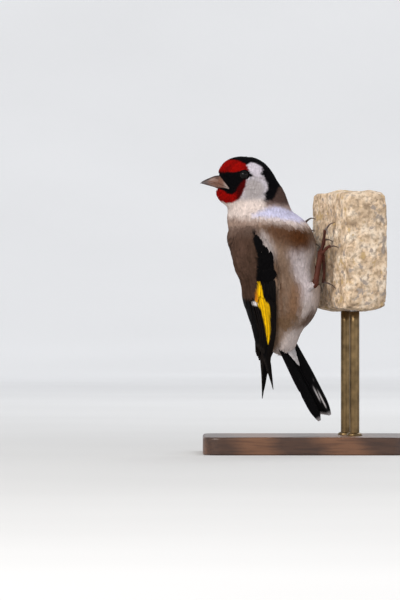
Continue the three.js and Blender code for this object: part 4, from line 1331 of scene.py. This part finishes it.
def make_thigh_coat(name, heel, thigh):
    """Short feathers over a thigh, down to the heel."""
    t, turn = grid(np.linspace(0.05, 0.9, 20), round_circle(30))
    axis = unit(heel - thigh)
    side = unit(np.cross(axis, vec(0, 0, 1)))
    out = side * np.cos(turn)[..., None] + np.cross(axis, side) * np.sin(turn)[..., None]
    surface = thigh + (heel - thigh) * t[..., None] + out * (3.5 - 2.5 * t)[..., None]
    roots = scatter(surface, lambda points: np.full(len(points), 0.7))
    normals = unit(roots - thigh - axis * ((roots - thigh) @ axis)[:, None])
    keep = body_depth(roots) > -0.8
    roots, normals = roots[keep], normals[keep]
    count = len(roots)
    # Painted shade: the thigh feathers take the coat's colours darker, for the shade under the belly
    lay_feathers(f"coat_thigh_{name}", roots, normals, np.repeat(axis[None], count, 0),
                 RANDOM.uniform(1.8, 2.8, count), RANDOM.uniform(0.9, 1.3, count),
                 RANDOM.uniform(0.05, 0.25, count), np.full(count, 8.0),
                 lambda points: coat_colour(points) * 0.85)


for leg_name, leg_form in LEGS.items():
    make_leg(leg_name, leg_form)
for leg_name, leg_form in LEGS.items():
    make_thigh_coat(leg_name, leg_form["heel"], leg_form["thigh"])


# The piece of wall: rough pale stone with pits, grains and patches of lichen

STONE_VOXEL = 0.55


def stone_material():
    material, tree, shader = new_material("wall_stone", 0.92)
    broad, grain, lichen = texture(tree, 190, 8), texture(tree, 620, 6), texture(tree, 240, 9)
    base = colour_ramp(tree, broad, [
        (0.3, linear(158, 134, 108)), (0.5, linear(216, 192, 164)), (0.72, linear(238, 224, 206))])
    specks = colour_ramp(tree, grain, [(0.36, (0.6, 0.57, 0.53)), (0.55, (1.05, 1.03, 1))])
    colour = blend_colour(tree, base, specks, 1.0, "MULTIPLY")
    patch = colour_ramp(tree, lichen, [(0.6, grey(0)), (0.66, grey(0.85))])
    colour = blend_colour(tree, colour, linear(190, 160, 112), patch)
    crust = colour_ramp(tree, lichen, [(0.36, grey(1)), (0.42, grey(0))])
    colour = blend_colour(tree, colour, linear(158, 144, 132), crust)
    tree.links.new(colour, shader.inputs["Base Color"])
    add_bump(tree, shader, grain, 0.5, 0.35)
    return material


def make_stone():
    """The frame's stone, remeshed finely and pushed in and out a little."""
    stone = place_object("stone_piece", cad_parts["perch_stone"].data.copy())
    for modifier_name, kind, values in (
            ("even", "REMESH", {"mode": "VOXEL", "voxel_size": STONE_VOXEL * MM}),
            ("ease", "SMOOTH", {"factor": 0.5, "iterations": 12})):
        modifier = stone.modifiers.new(modifier_name, kind)
        for key, value in values.items():
            setattr(modifier, key, value)
    bpy.context.view_layer.update()
    evaluated = stone.evaluated_get(bpy.context.evaluated_depsgraph_get())
    mesh = bpy.data.meshes.new_from_object(evaluated)
    stone.modifiers.clear()
    count = len(mesh.vertices)
    places = np.empty(count * 3)
    mesh.vertices.foreach_get("co", places)
    places = places.reshape(-1, 3) / MM
    facing = np.empty(count * 3)
    mesh.vertex_normals.foreach_get("vector", facing)
    facing = facing.reshape(-1, 3)
    rough = np.array([noise.fractal(Vector(p * 0.16), 0.9, 2.1, 5) for p in places])
    pits = np.array([noise.noise(Vector(p * 0.55 + 9)) for p in places])
    push = 0.35 * rough - 0.7 * ramp(0.25, 0.6, pits) - 0.1
    places = places + facing * np.clip(push, -1.2, 0.25)[:, None]
    mesh.vertices.foreach_set("co", (places * MM).ravel())
    mesh.update()
    stone.data = mesh
    mesh.materials.clear()
    mesh.materials.append(stone_material())
    mesh.polygons.foreach_set("use_smooth", np.ones(len(mesh.polygons), bool))
    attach(stone, "root")
    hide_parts("perch_stone")


make_stone()


# The stand: an oiled wooden base with eased edges and two bronzed rods

WOOD = layered("stand_wood", 0.42,
               {"scale": 28, "detail": 6, "stretch": (0.25, 1.6, 1), "kind": "Wave", "distortion": 5},
               [(0.2, linear(70, 44, 28)), (0.8, linear(112, 74, 48))],
               {"scale": 900, "detail": 5, "stretch": (0.08, 1, 1)},
               [(0.38, (0.55, 0.5, 0.46)), (0.55, (1, 1, 1))], (0.25, 0.1),
               Coat_Weight=0.15, Coat_Roughness=0.35)
BRONZE = grained("stand_bronze", 0.38, 240, 5, [(0.3, linear(96, 78, 52)), (0.7, linear(140, 116, 80))],
                 (0.15, 0.05), Metallic=0.9)
BASE_CORNER, BASE_EASE, BASE_CHAMFER = 8.0, 1.2, 0.6
CORNER_STEPS = 12
ROD_RADIUS, FOOT_RADIUS, FOOT_TAPER = 2.2, 3.6, 1.2
FOOT_HEIGHTS = 8.05, 8.6, 9.4
ROD_SUNK = 0.9


def node_box(name):
    return [np.array(corner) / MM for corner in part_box(name)]


def make_base():
    low, high = node_box("stand_base")
    half = (high - low)[:2] / 2
    profile = [(low[2], BASE_CHAMFER), (low[2] + BASE_CHAMFER, 0.0)]
    profile += [(high[2] - BASE_EASE + BASE_EASE * math.sin(a), BASE_EASE * (1 - math.cos(a)))
                for a in np.linspace(0, math.pi / 2, 8)]
    rings = []
    for z, inset in profile:
        ring = []
        for sx, sy, start in ((1, -1, -90), (1, 1, 0), (-1, 1, 90), (-1, -1, 180)):
            for k in range(CORNER_STEPS + 1):
                a = math.radians(start + 90 * k / CORNER_STEPS)
                ring.append((sx * (half[0] - BASE_CORNER) + (BASE_CORNER - inset) * math.cos(a),
                             sy * (half[1] - BASE_CORNER) + (BASE_CORNER - inset) * math.sin(a), z))
        rings.append(ring)
    verts, faces = capped(np.array(rings))
    piece("wooden_base", verts, split_quads(faces), WOOD, ("stand_base",),
          spots=verts[:, :2] / 110 + 0.5, smooth=False)


def make_rod(name):
    low, high = node_box(name)
    x, y, middle = (low + high) / 2
    shaft = limb([vec(x, y, z) for z in (low[2], middle, high[2] + ROD_SUNK)],
                 lambda t: ROD_RADIUS + 0 * t, 12, 36)
    foot = limb([vec(x, y, z) for z in FOOT_HEIGHTS], lambda t: FOOT_RADIUS - FOOT_TAPER * t ** 3, 14, 40)
    merged_piece(f"{name}_bronze", [shaft, foot], BRONZE, name)


make_base()
for rod_name in ("stand_rod_a", "stand_rod_b"):
    make_rod(rod_name)


# A pale floor that rises all round into a low wall, under soft studio light

FLOOR_RADIUS, WALL_RADIUS, WALL_HEIGHT = 2700, 5600, 2600
COVE_HEIGHT = 1800
FLOOR_SIDES = 96


def paper_material():
    """Pale paper that glows a little more the further off it is, as a lit backdrop does."""
    material, tree, shader = new_material("studio_paper", 0.9, Emission_Color=(0.96, 0.97, 1, 1))
    colour = colour_ramp(tree, texture(tree, 3, 2), [(0.3, (0.57, 0.565, 0.55)), (0.7, (0.62, 0.615, 0.6))])
    tree.links.new(colour, shader.inputs["Base Color"])
    place = tree.nodes.new("ShaderNodeTexCoord")
    away = tree.nodes.new("ShaderNodeVectorMath")
    away.operation = "LENGTH"
    glow = tree.nodes.new("ShaderNodeMapRange")
    for socket, value in (("From Min", 0.2), ("From Max", 2.6), ("To Min", 0.05), ("To Max", 0.42)):
        glow.inputs[socket].default_value = value
    tree.links.new(place.outputs["Object"], away.inputs[0])
    tree.links.new(away.outputs["Value"], glow.inputs["Value"])
    tree.links.new(glow.outputs["Result"], shader.inputs["Emission Strength"])
    return material


def make_stage():
    bend = WALL_RADIUS - FLOOR_RADIUS
    profile = [(r, 0) for r in (1, 300, 1000, FLOOR_RADIUS)]
    profile += [(FLOOR_RADIUS + bend * math.sin(a), COVE_HEIGHT * (1 - math.cos(a)))
                for a in np.linspace(0, math.pi / 2, 24)[1:]]
    profile += [(WALL_RADIUS, WALL_HEIGHT)]
    rings = [[(r * math.cos(a), r * math.sin(a), z) for a in round_circle(FLOOR_SIDES)] for r, z in profile]
    corners = (np.array(rings).reshape(-1, 3) * MM).tolist()
    faces = grid_faces(len(profile), FLOOR_SIDES, closed=True).tolist() + [list(range(FLOOR_SIDES))]
    mesh = bpy.data.meshes.new("studio_floor")
    mesh.from_pydata(corners, [], faces)
    mesh.polygons.foreach_set("use_smooth", np.ones(len(faces), bool))
    mesh.materials.append(paper_material())
    place_object("studio_floor", mesh)


def make_light(name, place, aim_height, size, power, colour):
    data = bpy.data.lights.new(name, "AREA")
    data.size = size
    data.energy = power
    data.color = colour
    lamp = place_object(name, data)
    lamp.location = place
    lamp.rotation_euler = (Vector((0, 0, aim_height)) - Vector(place)).to_track_quat("-Z", "Y").to_euler()


def make_air():
    world = bpy.data.worlds.new("studio_air")
    world.use_nodes = True
    background = world.node_tree.nodes["Background"]
    background.inputs["Color"].default_value = (0.88, 0.92, 1, 1)
    background.inputs["Strength"].default_value = 0.5
    bpy.context.scene.world = world
    bpy.context.scene.view_settings.view_transform = "Standard"


make_stage()
make_light("key", (-1.3, -1.7, 1.5), 0.08, 0.85, 46, (1, 0.955, 0.9))
make_light("fill", (1.2, -1.3, 0.4), 0.08, 1.4, 4.5, (0.86, 0.9, 1))
make_light("back", (0.4, 1.1, 1.1), 0.1, 0.8, 7, (0.95, 0.97, 1))
make_air()
